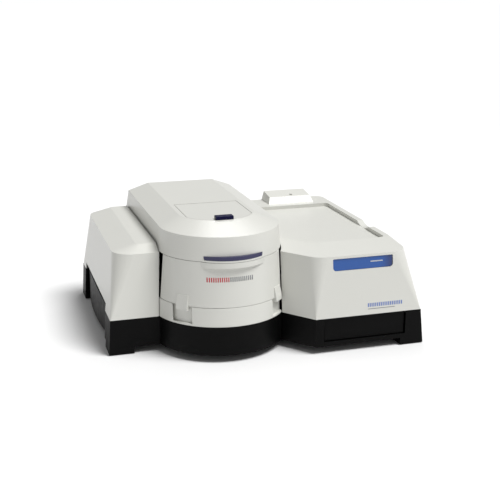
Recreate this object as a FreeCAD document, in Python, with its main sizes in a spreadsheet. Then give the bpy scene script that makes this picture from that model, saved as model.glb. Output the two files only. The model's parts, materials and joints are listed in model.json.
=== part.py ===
"""Benchtop double-beam spectrophotometer, as separate pieces, in millimetres.

Frame: +X to the right seen from the front, +Y to the rear, +Z up. The origin lies under the middle of
the instrument, on the surface that it stands on. Light runs from the lamp at the rear right, through the
filter wheel and the monochromator, to a beam splitter and a fold mirror, and then along -X through the
sample compartment to the two detectors on the left.
"""

import math
import os
import re

import FreeCAD, Part
from FreeCAD import Placement, Rotation, Vector

X_AXIS = Vector(1, 0, 0)
Y_AXIS = Vector(0, 1, 0)
Z_AXIS = Vector(0, 0, 1)
QUARTER = 90.0

# Driving sizes: alias, value, meaning.
SIZES = [
    ("base_width", 622.0, "over the corner feet, at the bench"),
    ("base_depth", 524.0, "over the corner feet, at the bench"),
    ("base_top", 73.0, "top edge of the black base"),
    ("under_gap", 15.6, "underside of the base above the bench"),
    ("pad_height", 1.6, "rubber pads under the feet"),
    ("pad_radius", 11.0, "rubber pads under the feet"),
    ("base_wall", 3.5, "wall and floor of the base"),
    ("left_lean", 4.3, "inward lean of the base's left side over its height"),
    ("right_lean", 7.8, "inward lean of the base's right side over its height"),
    ("end_lean", 1.0, "inward lean of the base's front and rear over its height"),
    ("foot_wide", 50.5, "corner foot block along X"),
    ("foot_deep", 50.0, "corner foot block along Y"),
    ("grip_front", -88.0, "front end of the side hand grips"),
    ("grip_back", 216.0, "rear end of the side hand grips"),
    ("grip_top", 88.0, "upper edge of the side hand grips"),
    ("grip_inset", 7.0, "hand grip behind the casing's lower edge"),
    ("grip_end_inset", 12.0, "hand grip's lower edge behind the feet, at its ends"),
    ("middle_x", -79.0, "centre line of the drum and the lid"),
    ("drum_y", -119.0, "axis of the drum"),
    ("drum_radius", 134.0, "drum at the top of the base"),
    ("drum_taper", 0.08, "drum radius lost for each millimetre of height"),
    ("drum_gap", 1.6, "covers clear of the drum"),
    ("left_front", -152.3, "front of the left cover at its foot"),
    ("corner_x", 78.4, "front left corner of the right cover at its foot"),
    ("corner_angle", 52.0, "turn of the right cover's slanted face from the front, in degrees"),
    ("cover_back", 258.0, "rear of the covers at their foot"),
    ("cover_wall", 3.0, "wall of the covers"),
    ("cover_draft", 0.125, "inward lean of the cover walls for each millimetre of height"),
    ("right_draft", 0.181, "the same on the outer side of the right cover"),
    ("back_draft", 0.06, "the same at the rear"),
    ("left_edge_top", 199.0, "top of the left cover's walls"),
    ("left_top", 212.0, "flat top of the left cover"),
    ("left_slope", 47.0, "width of the left cover's outer slope"),
    ("left_front_slope", 26.0, "width of the left cover's front and rear slopes"),
    ("cover_corner", 40.0, "corner radius at the top of the cover walls"),
    ("foot_corner", 2.0, "corner radius at the foot of the cover walls"),
    ("right_edge_top", 193.5, "top of the right cover's front wall"),
    ("right_top", 200.0, "rim of the right cover"),
    ("right_front_slope", 85.0, "width of the right cover's front slope"),
    ("right_diagonal_slope", 66.0, "width of the slope over the slanted face"),
    ("tray_depth", 8.0, "recessed tray in the right cover"),
    ("tray_rim", 13.5, "rim right of the tray"),
    ("tray_left", 60.0, "left edge of the tray"),
    ("tray_back", 170.0, "rear edge of the tray"),
    ("tray_lip", 4.0, "rim in front of the tray"),
    ("tray_corner", 10.0, "corner radius of the tray"),
    ("scoop_y", -43.0, "finger scoop in the tray's right rim"),
    ("scoop_wide", 62.0, "finger scoop along Y"),
    ("hump_left", 126.0, "raised block at the rear of the right cover"),
    ("hump_right", 241.0, "raised block, right end"),
    ("hump_front", 188.0, "raised block, foot of its front face"),
    ("hump_slope", 14.0, "run of the raised block's sloped faces"),
    ("hump_front_top", 214.5, "top of the raised block at its front"),
    ("hump_back_top", 221.0, "top of the raised block at its rear"),
    ("cap_radius", 3.6, "round cap on the raised block"),
    ("window_left", 116.5, "status window in the right cover's front"),
    ("window_wide", 127.0, "status window"),
    ("window_tall", 24.0, "status window"),
    ("window_low", 164.5, "lower edge of the status window"),
    ("window_thick", 2.4, "status window"),
    ("window_corner", 7.0, "lower corners of the status window"),
    ("window_sunk", 1.8, "status window behind the front face"),
    ("fit_gap", 0.3, "clearance between seated pieces"),
    ("ring_top", 110.0, "top of the drum's lower ring"),
    ("ring_wall", 9.0, "wall of the lower ring"),
    ("panel_wall", 4.0, "wall of the removable front panel"),
    ("panel_gap", 0.8, "joint lines round the front panel"),
    ("clip_wide", 25.0, "clip of the front panel"),
    ("clip_tall", 29.0, "clip of the front panel"),
    ("clip_drop", 8.0, "clip below the front panel's edge"),
    ("clip_stand", 4.5, "clip proud of the front panel"),
    ("clip_angle", 47.0, "clips either side of the front, in degrees"),
    ("clip_pocket_wide", 30.0, "pocket below each clip"),
    ("clip_pocket_deep", 6.0, "pocket below each clip"),
    ("lid_low", 200.0, "lower edge of the lid"),
    ("lid_edge", 247.0, "foot of the lid's slope"),
    ("lid_top", 263.5, "flat top of the lid"),
    ("lid_wall", 3.0, "wall of the lid"),
    ("lid_back", 252.0, "rear of the lid at its lower edge"),
    ("lid_back_lean", 0.441, "lean of the lid's rear for each millimetre of height"),
    ("flat_radius", 76.0, "half width of the lid's flat top"),
    ("flat_front_y", -98.0, "centre of the flat top's round front"),
    ("hinge_y", 246.0, "lid hinge axis"),
    ("hinge_z", 195.0, "lid hinge axis"),
    ("hinge_radius", 5.0, "lid hinge knuckles"),
    ("pin_radius", 2.5, "lid hinge pins"),
    ("pin_fit", 0.05, "running clearance on pins and shafts"),
    ("knuckle_wide", 18.0, "lid hinge knuckle"),
    ("ear_wide", 6.0, "ears of the hinge brackets"),
    ("hinge_spread", 80.0, "hinges either side of the centre line"),
    ("handle_low", 188.5, "underside of the front panel's ledge"),
    ("handle_top", 203.0, "top of the lid's finger lip"),
    ("handle_half", 62.0, "half length of the finger lip"),
    ("handle_stand", 8.0, "finger lip proud of the drum in its middle"),
    ("strip_tall", 7.5, "coloured strip over the finger lip"),
    ("strip_half", 58.0, "half length of the coloured strip"),
    ("hatch_half", 66.0, "half width of the hatch"),
    ("hatch_back", -15.0, "rear edge of the hatch"),
    ("hatch_radius", 73.0, "round front of the hatch"),
    ("hatch_gap", 1.1, "joint line round the hatch"),
    ("hatch_thick", 2.6, "hatch"),
    ("barrel_radius", 2.6, "rolled rear edge of the hatch"),
    ("hatch_pin_radius", 1.0, "hatch hinge pin"),
    ("ledge_in", 5.0, "ledge under the hatch's edge"),
    ("ledge_thick", 3.6, "ledge under the hatch's edge"),
    ("pull_wide", 35.4, "finger pull of the hatch"),
    ("pull_deep", 15.0, "finger pull of the hatch"),
    ("pull_tall", 7.5, "finger pull of the hatch"),
    ("pull_front", -171.0, "front of the finger pull"),
    ("drawer_left", 96.5, "drawer opening in the base's front"),
    ("drawer_wide", 174.0, "drawer opening"),
    ("drawer_low", 24.5, "drawer opening"),
    ("drawer_tall", 45.5, "drawer opening"),
    ("drawer_gap", 2.0, "drawer front clear of its opening"),
    ("drawer_sunk", 4.0, "drawer front behind the base's front"),
    ("drawer_deep", 146.0, "drawer behind its front panel"),
    ("drawer_wall", 2.5, "drawer walls"),
    ("runner_wide", 7.0, "drawer runners"),
    ("beam_z", 130.0, "height of the light beams"),
    ("sample_y", -120.0, "sample beam"),
    ("reference_y", -60.0, "reference beam"),
    ("source_x", 140.0, "beam inside the right cover"),
    ("port_radius", 8.0, "beam ports"),
    ("liner_inset", 22.0, "compartment liner inside the foot of the drum"),
    ("liner_wall", 2.5, "compartment liner"),
    ("liner_floor", 84.0, "floor of the compartment liner"),
    ("liner_top", 190.0, "top of the compartment liner"),
    ("liner_back", -4.0, "rear of the compartment liner"),
    ("holder_size", 38.0, "cell holder, square"),
    ("holder_tall", 58.0, "cell holder"),
    ("cell_size", 12.6, "well for a ten millimetre cell"),
    ("cell_deep", 40.0, "depth of the well"),
    ("plate_low", 78.0, "underside of the optical plates"),
    ("optics_left", 62.0, "left edge of the optics plate"),
    ("optics_wide", 218.0, "optics plate"),
    ("optics_front", 76.0, "optics plate behind the instrument's front"),
    ("optics_rear", 38.0, "optics plate in front of the instrument's rear"),
    ("optics_notch", 60.0, "corner cut out of the optics plate"),
    ("detector_wide", 64.0, "detector plate"),
    ("detector_deep", 160.0, "detector plate"),
    ("detector_reach", 78.0, "detector plate's left edge from the lid"),
    ("plate_thick", 10.0, "optical plates"),
    ("post_radius", 6.0, "posts under the optical plates"),
    ("mono_left", 90.0, "monochromator housing"),
    ("mono_wide", 160.0, "monochromator housing"),
    ("mono_front", -38.0, "monochromator housing"),
    ("mono_deep", 148.0, "monochromator housing"),
    ("mono_tall", 74.0, "monochromator housing"),
    ("mono_wall", 4.0, "monochromator housing"),
    ("grating_x", 214.0, "grating axis"),
    ("grating_y", 36.0, "grating axis"),
    ("turret_radius", 22.0, "grating turret"),
    ("shaft_radius", 2.5, "grating shaft"),
    ("grating_size", 30.0, "grating, square"),
    ("grating_thick", 6.0, "grating"),
    ("wheel_gap", 12.0, "filter wheel behind the monochromator"),
    ("wheel_thick", 3.0, "filter wheel"),
    ("wheel_radius", 29.0, "filter wheel"),
    ("wheel_pitch", 20.0, "filters from the wheel's axis"),
    ("filter_radius", 5.5, "filters"),
    ("lamp_wide", 88.0, "lamp housing"),
    ("lamp_deep", 84.0, "lamp housing"),
    ("lamp_tall", 78.0, "lamp housing"),
    ("lamp_gap", 20.0, "lamp housing behind the front of the filter wheel"),
    ("lamp_radius", 11.0, "xenon lamp"),
    ("fan_size", 80.0, "fan frame, square"),
    ("fan_thick", 25.0, "fan frame"),
    ("fan_z", 130.0, "fan axis"),
    ("fan_radius", 36.0, "tip of the fan's blades"),
    ("hub_radius", 15.0, "fan hub"),
    ("rear_panel_thick", 2.0, "rear panel"),
    ("rear_panel_top", 186.0, "rear panel"),
    ("deck_thick", 2.5, "deck under the lid's rear half"),
    ("inlet_inset", 45.0, "mains inlet inside the left side of the drum"),
    ("switch_step", 46.0, "mains switch beside the inlet"),
    ("socket_step", 84.0, "data socket beside the inlet"),
    ("service_z", 104.0, "height of the inlet, switch and socket"),
    ("rocker_radius", 10.0, "rocker of the mains switch"),
    ("board_z", 30.0, "main board above the bench"),
    ("supply_inset", 24.0, "power supply inside the base's left side"),
    ("supply_wide", 84.0, "power supply"),
    ("supply_deep", 162.0, "power supply"),
    ("supply_tall", 48.0, "power supply"),
    ("rear_clear", 36.0, "power supply in front of the base's rear"),
    ("post_clear", 48.0, "rear posts in front of the base's rear"),
    ("board_thick", 1.6, "circuit boards"),
    ("screw_head", 3.6, "screw heads"),
    ("screw_shank", 1.6, "screw shanks"),
]

# Sizes worked out in the sheet from the ones above.
DERIVED = [
    ("floor_top", "under_gap + base_wall", "inside floor of the base"),
    ("front_y", "-base_depth / 2", "foremost plane of the instrument"),
    ("back_y", "base_depth / 2", "rearmost plane of the instrument"),
    ("plate_top", "plate_low + plate_thick", "top of the optical plates"),
    ("ring_radius", "drum_radius - drum_taper * (ring_top - base_top)", "drum at the ring's top"),
    ("lid_radius", "drum_radius - drum_taper * (lid_low - base_top)", "drum at the lid's lower edge"),
    ("lid_left", "middle_x - lid_radius - drum_gap", "inner limit of the left cover"),
    ("lid_right", "middle_x + lid_radius + drum_gap", "inner limit of the right cover"),
    ("rear_panel_y", "cover_back - rear_panel_thick - 6", "front face of the rear panel"),
    ("mono_floor", "plate_top + mono_wall", "inside floor of the monochromator"),
    ("mono_top", "plate_top + mono_tall", "top of the monochromator's walls"),
    ("mono_back", "mono_front + mono_deep", "monochromator housing"),
    ("liner_radius", "drum_radius - liner_inset", "compartment liner"),
    ("wheel_y", "mono_back + wheel_gap", "front of the filter wheel"),
    ("lamp_front", "wheel_y + lamp_gap", "front of the lamp housing"),
    ("fan_x", "middle_x + drum_radius / 2", "fan axis"),
    ("inlet_x", "middle_x - drum_radius + inlet_inset", "mains inlet"),
    ("switch_x", "inlet_x + switch_step", "mains switch"),
    ("socket_x", "inlet_x + socket_step", "data socket"),
    ("barrel_z", "lid_top - barrel_radius", "hatch hinge axis"),
    ("barrel_y", "hatch_back - barrel_radius", "hatch hinge axis"),
    ("wheel_x", "source_x + wheel_pitch", "filter wheel axis"),
    ("drawer_front", "front_y + drawer_sunk", "front face of the drawer"),
    ("deck_z", "rear_panel_top", "underside of the deck"),
]

document = FreeCAD.newDocument("Spectrophotometer")
sheet = document.addObject("Spreadsheet::Sheet", "Sizes")
nodes = []


def fill_sheet():
    """Write the driving and derived sizes to the sheet, one alias per row."""
    names = [alias for alias, _, _ in SIZES] + [alias for alias, _, _ in DERIVED]
    row = 0
    for alias, value, note in SIZES + DERIVED:
        row += 1
        cell = "B%d" % row
        sheet.set("A%d" % row, note)
        sheet.set(cell, str(value) if isinstance(value, float) else "=" + value)
        sheet.setAlias(cell, alias)
    document.recompute()
    return names


NAMES = fill_sheet()
WORD = re.compile(r"\b(" + "|".join(sorted(NAMES, key=len, reverse=True)) + r")\b")


class Size:
    """Reads the sheet's cells as plain numbers."""

    def __getattr__(self, alias):
        return float(sheet.get(alias))


s = Size()


def bound(text):
    """An expression over the sheet's aliases, in the form that setExpression takes."""
    return WORD.sub(r"Sizes.\1", text)


def place(obj, at, axis=Z_AXIS, angle=0.0):
    """Turn an object about its own origin, then bind its place to the sheet."""
    obj.Placement = Placement(Vector(), Rotation(axis, angle))
    for letter, text in zip("xyz", at):
        obj.setExpression("Placement.Base." + letter, bound(text))
    return obj


def box(name, low, sizes):
    """A Part box from its low corner and its three sizes, all expressions."""
    obj = document.addObject("Part::Box", name)
    for prop, text in zip(("Length", "Width", "Height"), sizes):
        obj.setExpression(prop, bound(text))
    return place(obj, low)


def rod(name, centre, radius, length, axis=Z_AXIS, angle=0.0):
    """A Part cylinder that starts at centre; the turn takes its axis away from +Z."""
    obj = document.addObject("Part::Cylinder", name)
    obj.setExpression("Radius", bound(radius))
    obj.setExpression("Height", bound(length))
    return place(obj, centre, axis, angle)


def rod_x(name, centre, radius, length):
    """A cylinder along +X."""
    return rod(name, centre, radius, length, Y_AXIS, QUARTER)


def rod_y(name, centre, radius, length):
    """A cylinder along +Y."""
    return rod(name, centre, radius, length, X_AXIS, -QUARTER)


def fuse(name, pieces):
    """Join pieces that overlap or touch into one shape."""
    obj = document.addObject("Part::MultiFuse", name)
    obj.Shapes = pieces
    return obj


def cut(name, base, tools):
    """Take one or more tools away from a base."""
    obj = document.addObject("Part::Cut", name)
    obj.Base = base
    obj.Tool = tools[0] if len(tools) == 1 else fuse(name + "_tools", tools)
    return obj


def group(name, pieces):
    """Separate solids that share one node."""
    obj = document.addObject("Part::Compound", name)
    obj.Links = pieces
    return obj


def made(name, shape):
    """A feature whose shape is built with Part's own functions."""
    obj = document.addObject("Part::Feature", name)
    obj.Shape = shape
    return obj


def keep(obj, label):
    """Name a finished sub-part and list it for export."""
    obj.Label = label
    nodes.append(obj)
    return obj


def plane_of(body, role):
    """One of a body's own origin planes, found by its role."""
    return [item for item in body.Origin.OriginFeatures if item.Role == role][0]


def centred_sketch(body, name, wide, tall):
    """A rectangle about the body's origin, its two sizes bound to the sheet."""
    sketch = body.newObject("Sketcher::SketchObject", name)
    sketch.AttachmentSupport = (plane_of(body, "XY_Plane"), [""])
    sketch.MapMode = "FlatFace"
    corners = [Vector(-1, -1, 0), Vector(1, -1, 0), Vector(1, 1, 0), Vector(-1, 1, 0)]
    for i in range(4):
        sketch.addGeometry(Part.LineSegment(corners[i], corners[(i + 1) % 4]), False)
    for i in range(4):
        sketch.addConstraint(Sketcher.Constraint("Coincident", i, 2, (i + 1) % 4, 1))
    for i, kind in enumerate(("Horizontal", "Vertical", "Horizontal", "Vertical")):
        sketch.addConstraint(Sketcher.Constraint(kind, i))
    sketch.addConstraint(Sketcher.Constraint("Symmetric", 0, 1, 2, 1, -1, 1))
    across = sketch.addConstraint(Sketcher.Constraint("DistanceX", 0, 1, 0, 2, 2.0))
    along = sketch.addConstraint(Sketcher.Constraint("DistanceY", 1, 1, 1, 2, 2.0))
    sketch.setExpression("Constraints[%d]" % across, bound(wide))
    sketch.setExpression("Constraints[%d]" % along, bound(tall))
    return sketch


def circle_sketch(body, name, radius, offset=None):
    """A circle at the body's origin, or offset along its X, bound to the sheet."""
    sketch = body.newObject("Sketcher::SketchObject", name)
    sketch.AttachmentSupport = (plane_of(body, "XY_Plane"), [""])
    sketch.MapMode = "FlatFace"
    start = Vector(1 if offset else 0, 0, 0)
    sketch.addGeometry(Part.Circle(start, Z_AXIS, 1.0), False)
    if offset:
        sketch.addConstraint(Sketcher.Constraint("PointOnObject", 0, 3, -1))
        out = sketch.addConstraint(Sketcher.Constraint("DistanceX", -1, 1, 0, 3, 1.0))
        sketch.setExpression("Constraints[%d]" % out, bound(offset))
    else:
        sketch.addConstraint(Sketcher.Constraint("Coincident", 0, 3, -1, 1))
    rim = sketch.addConstraint(Sketcher.Constraint("Radius", 0, 1.0))
    sketch.setExpression("Constraints[%d]" % rim, bound(radius))
    return sketch


def pad(body, name, sketch, length):
    """Pad a sketch by a bound length."""
    feature = body.newObject("PartDesign::Pad", name)
    feature.Profile = sketch
    feature.setExpression("Length", bound(length))
    return feature


def through(body, name, sketch):
    """Pocket a sketch right through, both ways."""
    feature = body.newObject("PartDesign::Pocket", name)
    feature.Profile = sketch
    feature.Type = "ThroughAll"
    feature.Midplane = True
    return feature


def plate(name, at, wide, tall, thick, axis=Z_AXIS, angle=0.0):
    """A padded rectangle, centred on its place."""
    body = document.addObject("PartDesign::Body", name)
    pad(body, name + "_pad", centred_sketch(body, name + "_outline", wide, tall), thick)
    return place(body, at, axis, angle)


def disc(name, at, radius, thick, axis=Z_AXIS, angle=0.0):
    """A padded circle, centred on its place."""
    body = document.addObject("PartDesign::Body", name)
    pad(body, name + "_pad", circle_sketch(body, name + "_rim", radius), thick)
    return place(body, at, axis, angle)


def drum_at(height):
    """Radius of the drum at a height."""
    return s.drum_radius - s.drum_taper * (height - s.base_top)


def cone(low, high, grow=0.0):
    """The drum's tapered solid between two heights, grown or shrunk all round."""
    foot = Vector(s.middle_x, s.drum_y, low)
    return Part.makeCone(drum_at(low) + grow, drum_at(high) + grow, high - low, foot, Z_AXIS)


def block(x0, x1, y0, y1, z0, z1):
    """A plain block between two corners."""
    return Part.makeBox(x1 - x0, y1 - y0, z1 - z0, Vector(x0, y0, z0))


def rounded_wire(corners, height):
    """A closed wire through corners (x, y, radius), with an arc where the radius isn't zero."""
    stretches = []
    count = len(corners)
    for i in range(count):
        x, y, radius = corners[i]
        here = Vector(x, y, height)
        before = Vector(corners[i - 1][0], corners[i - 1][1], height) - here
        after = Vector(corners[(i + 1) % count][0], corners[(i + 1) % count][1], height) - here
        before.normalize()
        after.normalize()
        half = before.getAngle(after) / 2
        setback = radius / math.tan(half)
        inward = before + after
        inward.normalize()
        middle = here + inward * (radius / math.sin(half) - radius)
        stretches.append((here + before * setback, middle, here + after * setback, radius))
    edges = []
    for i in range(count):
        start, middle, end, radius = stretches[i]
        if radius > 0:
            edges.append(Part.Arc(start, middle, end).toShape())
        edges.append(Part.LineSegment(end, stretches[(i + 1) % count][0]).toShape())
    return Part.Wire(edges)


def ruled(wires):
    """A solid with straight walls between wires of the same make-up."""
    return Part.makeLoft(wires, True, True)


def slab(wire, thick):
    """A prism that stands on a flat closed wire."""
    return Part.Face(wire).extrude(Vector(0, 0, thick))


def diagonal(inset):
    """A point on the right cover's slanted face, moved inwards, and the face's direction to the drum."""
    turn = math.radians(s.corner_angle)
    towards_drum = Vector(-math.cos(turn), math.sin(turn), 0)
    inward = Vector(math.sin(turn), math.cos(turn), 0)
    return Vector(s.corner_x, s.front_y, 0) + inward * inset, towards_drum


def diagonal_at_y(inset, y):
    """Where the inset slanted line crosses a line across the instrument."""
    point, direction = diagonal(inset)
    return point.x + direction.x * (y - point.y) / direction.y


def diagonal_at_x(inset, x):
    """Where the inset slanted line crosses a line along the instrument."""
    point, direction = diagonal(inset)
    return point.y + direction.y * (x - point.x) / direction.x


def diagonal_meets_drum(inset, radius):
    """The point where the inset slanted line runs into the drum's circle."""
    point, direction = diagonal(inset)
    away = point - Vector(s.middle_x, s.drum_y, 0)
    lean = away.dot(direction)
    reach = -lean - math.sqrt(lean * lean - away.dot(away) + radius * radius)
    return point + direction * reach


def base_outline(height, inset=0.0):
    """Plan outline of the base at a height, inset by a wall."""
    share = height / s.base_top
    left = -s.base_width / 2 + s.left_lean * share + inset
    right = s.base_width / 2 - s.right_lean * share - inset
    front = s.front_y + inset
    back = s.back_y - s.end_lean * share - inset
    radius = s.drum_radius - inset
    shoulder = s.left_front + inset
    reach = math.sqrt(radius ** 2 - (shoulder - s.drum_y) ** 2)
    start = Vector(s.middle_x - reach, shoulder, height)
    end = diagonal_meets_drum(inset, radius)
    end.z = height
    fore = Vector(s.middle_x, s.drum_y - radius, height)
    points = [
        end,
        Vector(diagonal_at_y(inset, front), front, height),
        Vector(right, front, height),
        Vector(right, back, height),
        Vector(left, back, height),
        Vector(left, shoulder, height),
        start,
    ]
    edges = [Part.LineSegment(a, b).toShape() for a, b in zip(points, points[1:])]
    edges.append(Part.Arc(start, fore, end).toShape())
    return Part.Wire(edges)


def grip_tool(side, deeper=0.0):
    """The space in front of a side hand grip, with its bulged lower edge; side is -1 or 1."""
    lean = s.left_lean if side < 0 else s.right_lean
    low = s.under_gap - 1
    top_x = s.base_width / 2 - lean - s.grip_inset - deeper
    end_x = s.base_width / 2 - s.grip_end_inset - deeper
    bulge_x = s.base_width / 2 - 1.0 - deeper
    outer = s.base_width
    front = s.grip_front - deeper
    back = s.grip_back + deeper
    middle = (front + back) / 2
    bottom = [
        Part.Arc(Vector(side * end_x, front, low), Vector(side * bulge_x, middle, low),
                 Vector(side * end_x, back, low)).toShape(),
        Part.LineSegment(Vector(side * end_x, back, low), Vector(side * outer, back, low)).toShape(),
        Part.LineSegment(Vector(side * outer, back, low), Vector(side * outer, front, low)).toShape(),
        Part.LineSegment(Vector(side * outer, front, low), Vector(side * end_x, front, low)).toShape(),
    ]
    points = [(top_x, front), (top_x, back), (outer, back), (outer, front)]
    corners = [Vector(side * x, y, s.grip_top) for x, y in points]
    top = [Part.LineSegment(corners[i], corners[(i + 1) % 4]).toShape() for i in range(4)]
    return ruled([Part.Wire(bottom), Part.Wire(top)])


def build_base():
    """Black base moulding: skirt, floor, corner feet, side hand grips and the drawer's opening."""
    outer = ruled([base_outline(s.pad_height), base_outline(s.base_top)])
    inner = ruled([base_outline(s.floor_top, s.base_wall), base_outline(s.base_top + 1, s.base_wall)])
    far = s.base_width
    half_wide = s.base_width / 2 - s.foot_wide
    back_foot = s.back_y - s.foot_deep
    left_foot = s.left_front + s.foot_deep
    right_foot = s.front_y + s.foot_deep
    gap_top = s.under_gap
    under = [
        block(-half_wide, half_wide, -far, far, 0, gap_top),
        block(-far, 0, left_foot, back_foot, 0, gap_top),
        block(0, far, right_foot, back_foot, 0, gap_top),
    ]
    for side in (-1, 1):
        outer = outer.cut(grip_tool(side))
        inner = inner.cut(grip_tool(side, s.base_wall))
        lean = s.left_lean if side < 0 else s.right_lean
        edge = s.base_width / 2 - lean - s.grip_inset
        xs = sorted((side * edge, side * (edge - s.base_wall)))
        low = s.base_top - s.base_wall * 3
        upstand = block(xs[0], xs[1], s.grip_front, s.grip_back, low, s.grip_top - s.fit_gap)
        outer = outer.fuse(upstand)
    opening = block(s.drawer_left, s.drawer_left + s.drawer_wide, s.front_y - 1,
                    s.front_y + 4 * s.base_wall,
                    s.drawer_low, s.drawer_low + s.drawer_tall)
    shape = outer.cut([inner, opening] + under)
    keep(made("BaseMoulding", shape.removeSplitter()), "base_moulding")


def build_feet():
    """Rubber pads under the corner feet."""
    x_text = "(base_width / 2 - foot_wide / 2)"
    back = "back_y - foot_deep / 2"
    left = "left_front + foot_deep / 2"
    right = "front_y + foot_deep / 2"
    places = [("-" + x_text, left), (x_text, right), (x_text, back), ("-" + x_text, back)]
    pads = [rod("Pad%d" % i, (x, y, "0"), "pad_radius", "pad_height") for i, (x, y) in enumerate(places)]
    keep(group("RubberFeet", pads), "rubber_feet")


def left_level(height, inset, radius, side_in, end_in):
    """One level of the left cover's outline."""
    rise = height - s.base_top
    left = -s.base_width / 2 + s.left_lean + s.cover_draft * rise + side_in + inset
    front = s.left_front + s.cover_draft * rise + end_in + inset
    back = s.cover_back - s.back_draft * rise - end_in - inset
    inside = s.middle_x
    corners = [(left, front, radius), (inside, front, 0), (inside, back, 0), (left, back, radius)]
    return rounded_wire(corners, height)


def left_solid(inset):
    """The left cover's outer or inner solid, before the drum and the lid are cleared."""
    start = s.base_top if inset == 0 else s.base_top - 1
    corner = s.cover_corner - inset
    edge = s.left_edge_top - inset / 2
    top = s.left_top - inset
    drop = s.cover_draft * (s.left_top - s.left_edge_top)
    return ruled([
        left_level(start, inset, s.foot_corner, 0, 0),
        left_level(edge, inset, corner, 0, 0),
        left_level(top, inset, s.foot_corner * 4, s.left_slope - drop, s.left_front_slope - drop),
    ])


def middle_space(extra, left_side):
    """The drum and the lid's run, with a clearance, taken out of a cover."""
    high = s.lid_top + 50
    drum = cone(s.base_top - 5, high, s.drum_gap + extra)
    far = s.base_width
    if left_side:
        strip = block(s.lid_left - extra, far, s.drum_y, far, 0, high)
    else:
        strip = block(-far, s.lid_right + extra, s.drum_y, far, 0, high)
    return drum.fuse(strip)


def beam_ports(x0, x1):
    """Two holes along X at the sample and reference beams."""
    holes = [Part.makeCylinder(s.port_radius, x1 - x0, Vector(x0, y, s.beam_z), X_AXIS)
             for y in (s.sample_y, s.reference_y)]
    return holes


def grip_notch(side):
    """The raised lower edge of a cover over its hand grip."""
    far = s.base_width
    near = s.base_width / 2 - 3 * s.grip_inset
    xs = sorted((side * near, side * far))
    return block(xs[0], xs[1], s.grip_front, s.grip_back, 0, s.grip_top)


def build_left_cover():
    """White cover over the detectors and the power supply."""
    outer = left_solid(0).cut(middle_space(0, True))
    beyond = block(s.middle_x - 40, s.base_width, -s.base_depth, s.base_depth, 0, 2 * s.lid_top)
    inner = left_solid(s.cover_wall).cut(middle_space(s.cover_wall, True))
    shape = outer.cut([inner, beyond, grip_notch(-1)] + beam_ports(s.lid_left - 40, s.lid_left + 10))
    keep(made("LeftCover", shape.removeSplitter()), "left_cover")


def right_level(height, inset, radii, front_in, slant_in, side_in):
    """One level of the right cover's outline; radii are for the front corners and the rear one."""
    rise = min(height, s.right_edge_top) - s.base_top
    lean = s.cover_draft * rise
    right = s.base_width / 2 - s.right_lean - s.right_draft * rise - side_in - inset
    front = s.front_y + lean + front_in + inset
    slant = lean + slant_in + inset
    back = s.cover_back - s.back_draft * rise - side_in - inset
    inside = s.middle_x + s.drum_radius / 2
    corners = [
        (inside, diagonal_at_x(slant, inside), 0),
        (diagonal_at_y(slant, front), front, radii[0]),
        (right, front, radii[1]),
        (right, back, radii[2]),
        (inside, back, 0),
    ]
    return rounded_wire(corners, height)


def right_solid():
    """The right cover's outer solid."""
    foot = [s.foot_corner] * 3
    walls = [s.cover_corner, s.cover_corner, s.cover_corner / 2]
    rim = [s.cover_corner, s.cover_corner / 2, s.cover_corner / 2]
    return ruled([
        right_level(s.base_top, 0, foot, 0, 0, 0),
        right_level(s.right_edge_top, 0, walls, 0, 0, 0),
        right_level(s.right_top, 0, rim, s.right_front_slope, s.right_diagonal_slope, 1.0),
    ])


def right_hollow():
    """The space inside the right cover."""
    wall = s.cover_wall
    foot = [s.foot_corner] * 3
    walls = [s.cover_corner - wall, s.cover_corner - wall, s.cover_corner / 2 - wall]
    top = s.right_top - s.tray_depth - wall
    return ruled([
        right_level(s.base_top - 1, wall, foot, 0, 0, 0),
        right_level(top, wall, walls, 0, 0, 0),
    ])


def rim_x():
    """Outer edge of the right cover's rim."""
    rise = s.right_edge_top - s.base_top
    return s.base_width / 2 - s.right_lean - s.right_draft * rise - 1.0


def tray_tool():
    """The recess in the top of the right cover, with the finger scoop in its right rim."""
    floor = s.right_top - s.tray_depth
    lean = s.cover_draft * (s.right_edge_top - s.base_top)
    slant = lean + s.right_diagonal_slope + s.tray_lip
    front = s.front_y + lean + s.right_front_slope + s.tray_lip
    right = rim_x() - s.tray_rim
    corner = s.tray_corner
    corners = [
        (s.tray_left, diagonal_at_x(slant, s.tray_left), corner),
        (diagonal_at_y(slant, front), front, corner * 2),
        (right, front, corner),
        (right, s.tray_back, corner),
        (s.tray_left, s.tray_back, corner),
    ]
    recess = slab(rounded_wire(corners, floor), s.tray_depth * 3)
    scoop_radius = ((s.scoop_wide / 2) ** 2 + s.tray_depth ** 2) / (2 * s.tray_depth)
    centre = Vector(right - s.tray_corner, s.scoop_y, floor + scoop_radius)
    scoop = Part.makeCylinder(scoop_radius, s.tray_rim * 3, centre, X_AXIS)
    return recess.fuse(scoop)


def hump():
    """The raised block at the rear of the right cover, its top rising towards the rear."""
    foot_z = s.right_top - s.tray_depth / 2
    back = s.cover_back - s.back_draft * (s.right_top - s.base_top) - 2.0
    run = s.hump_slope
    foot = [(s.hump_left, s.hump_front), (s.hump_right, s.hump_front), (s.hump_right, back),
            (s.hump_left, back)]
    top = [(s.hump_left + run / 2, s.hump_front + run, s.hump_front_top),
           (s.hump_right - run / 2, s.hump_front + run, s.hump_front_top),
           (s.hump_right - run / 2, back, s.hump_back_top),
           (s.hump_left + run / 2, back, s.hump_back_top)]
    low = [Vector(x, y, foot_z) for x, y in foot]
    high = [Vector(x, y, z) for x, y, z in top]
    return ruled([Part.makePolygon(low + low[:1]), Part.makePolygon(high + high[:1])])


def front_face_y(height):
    """The right cover's front face at a height."""
    return s.front_y + s.cover_draft * (height - s.base_top)


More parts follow.
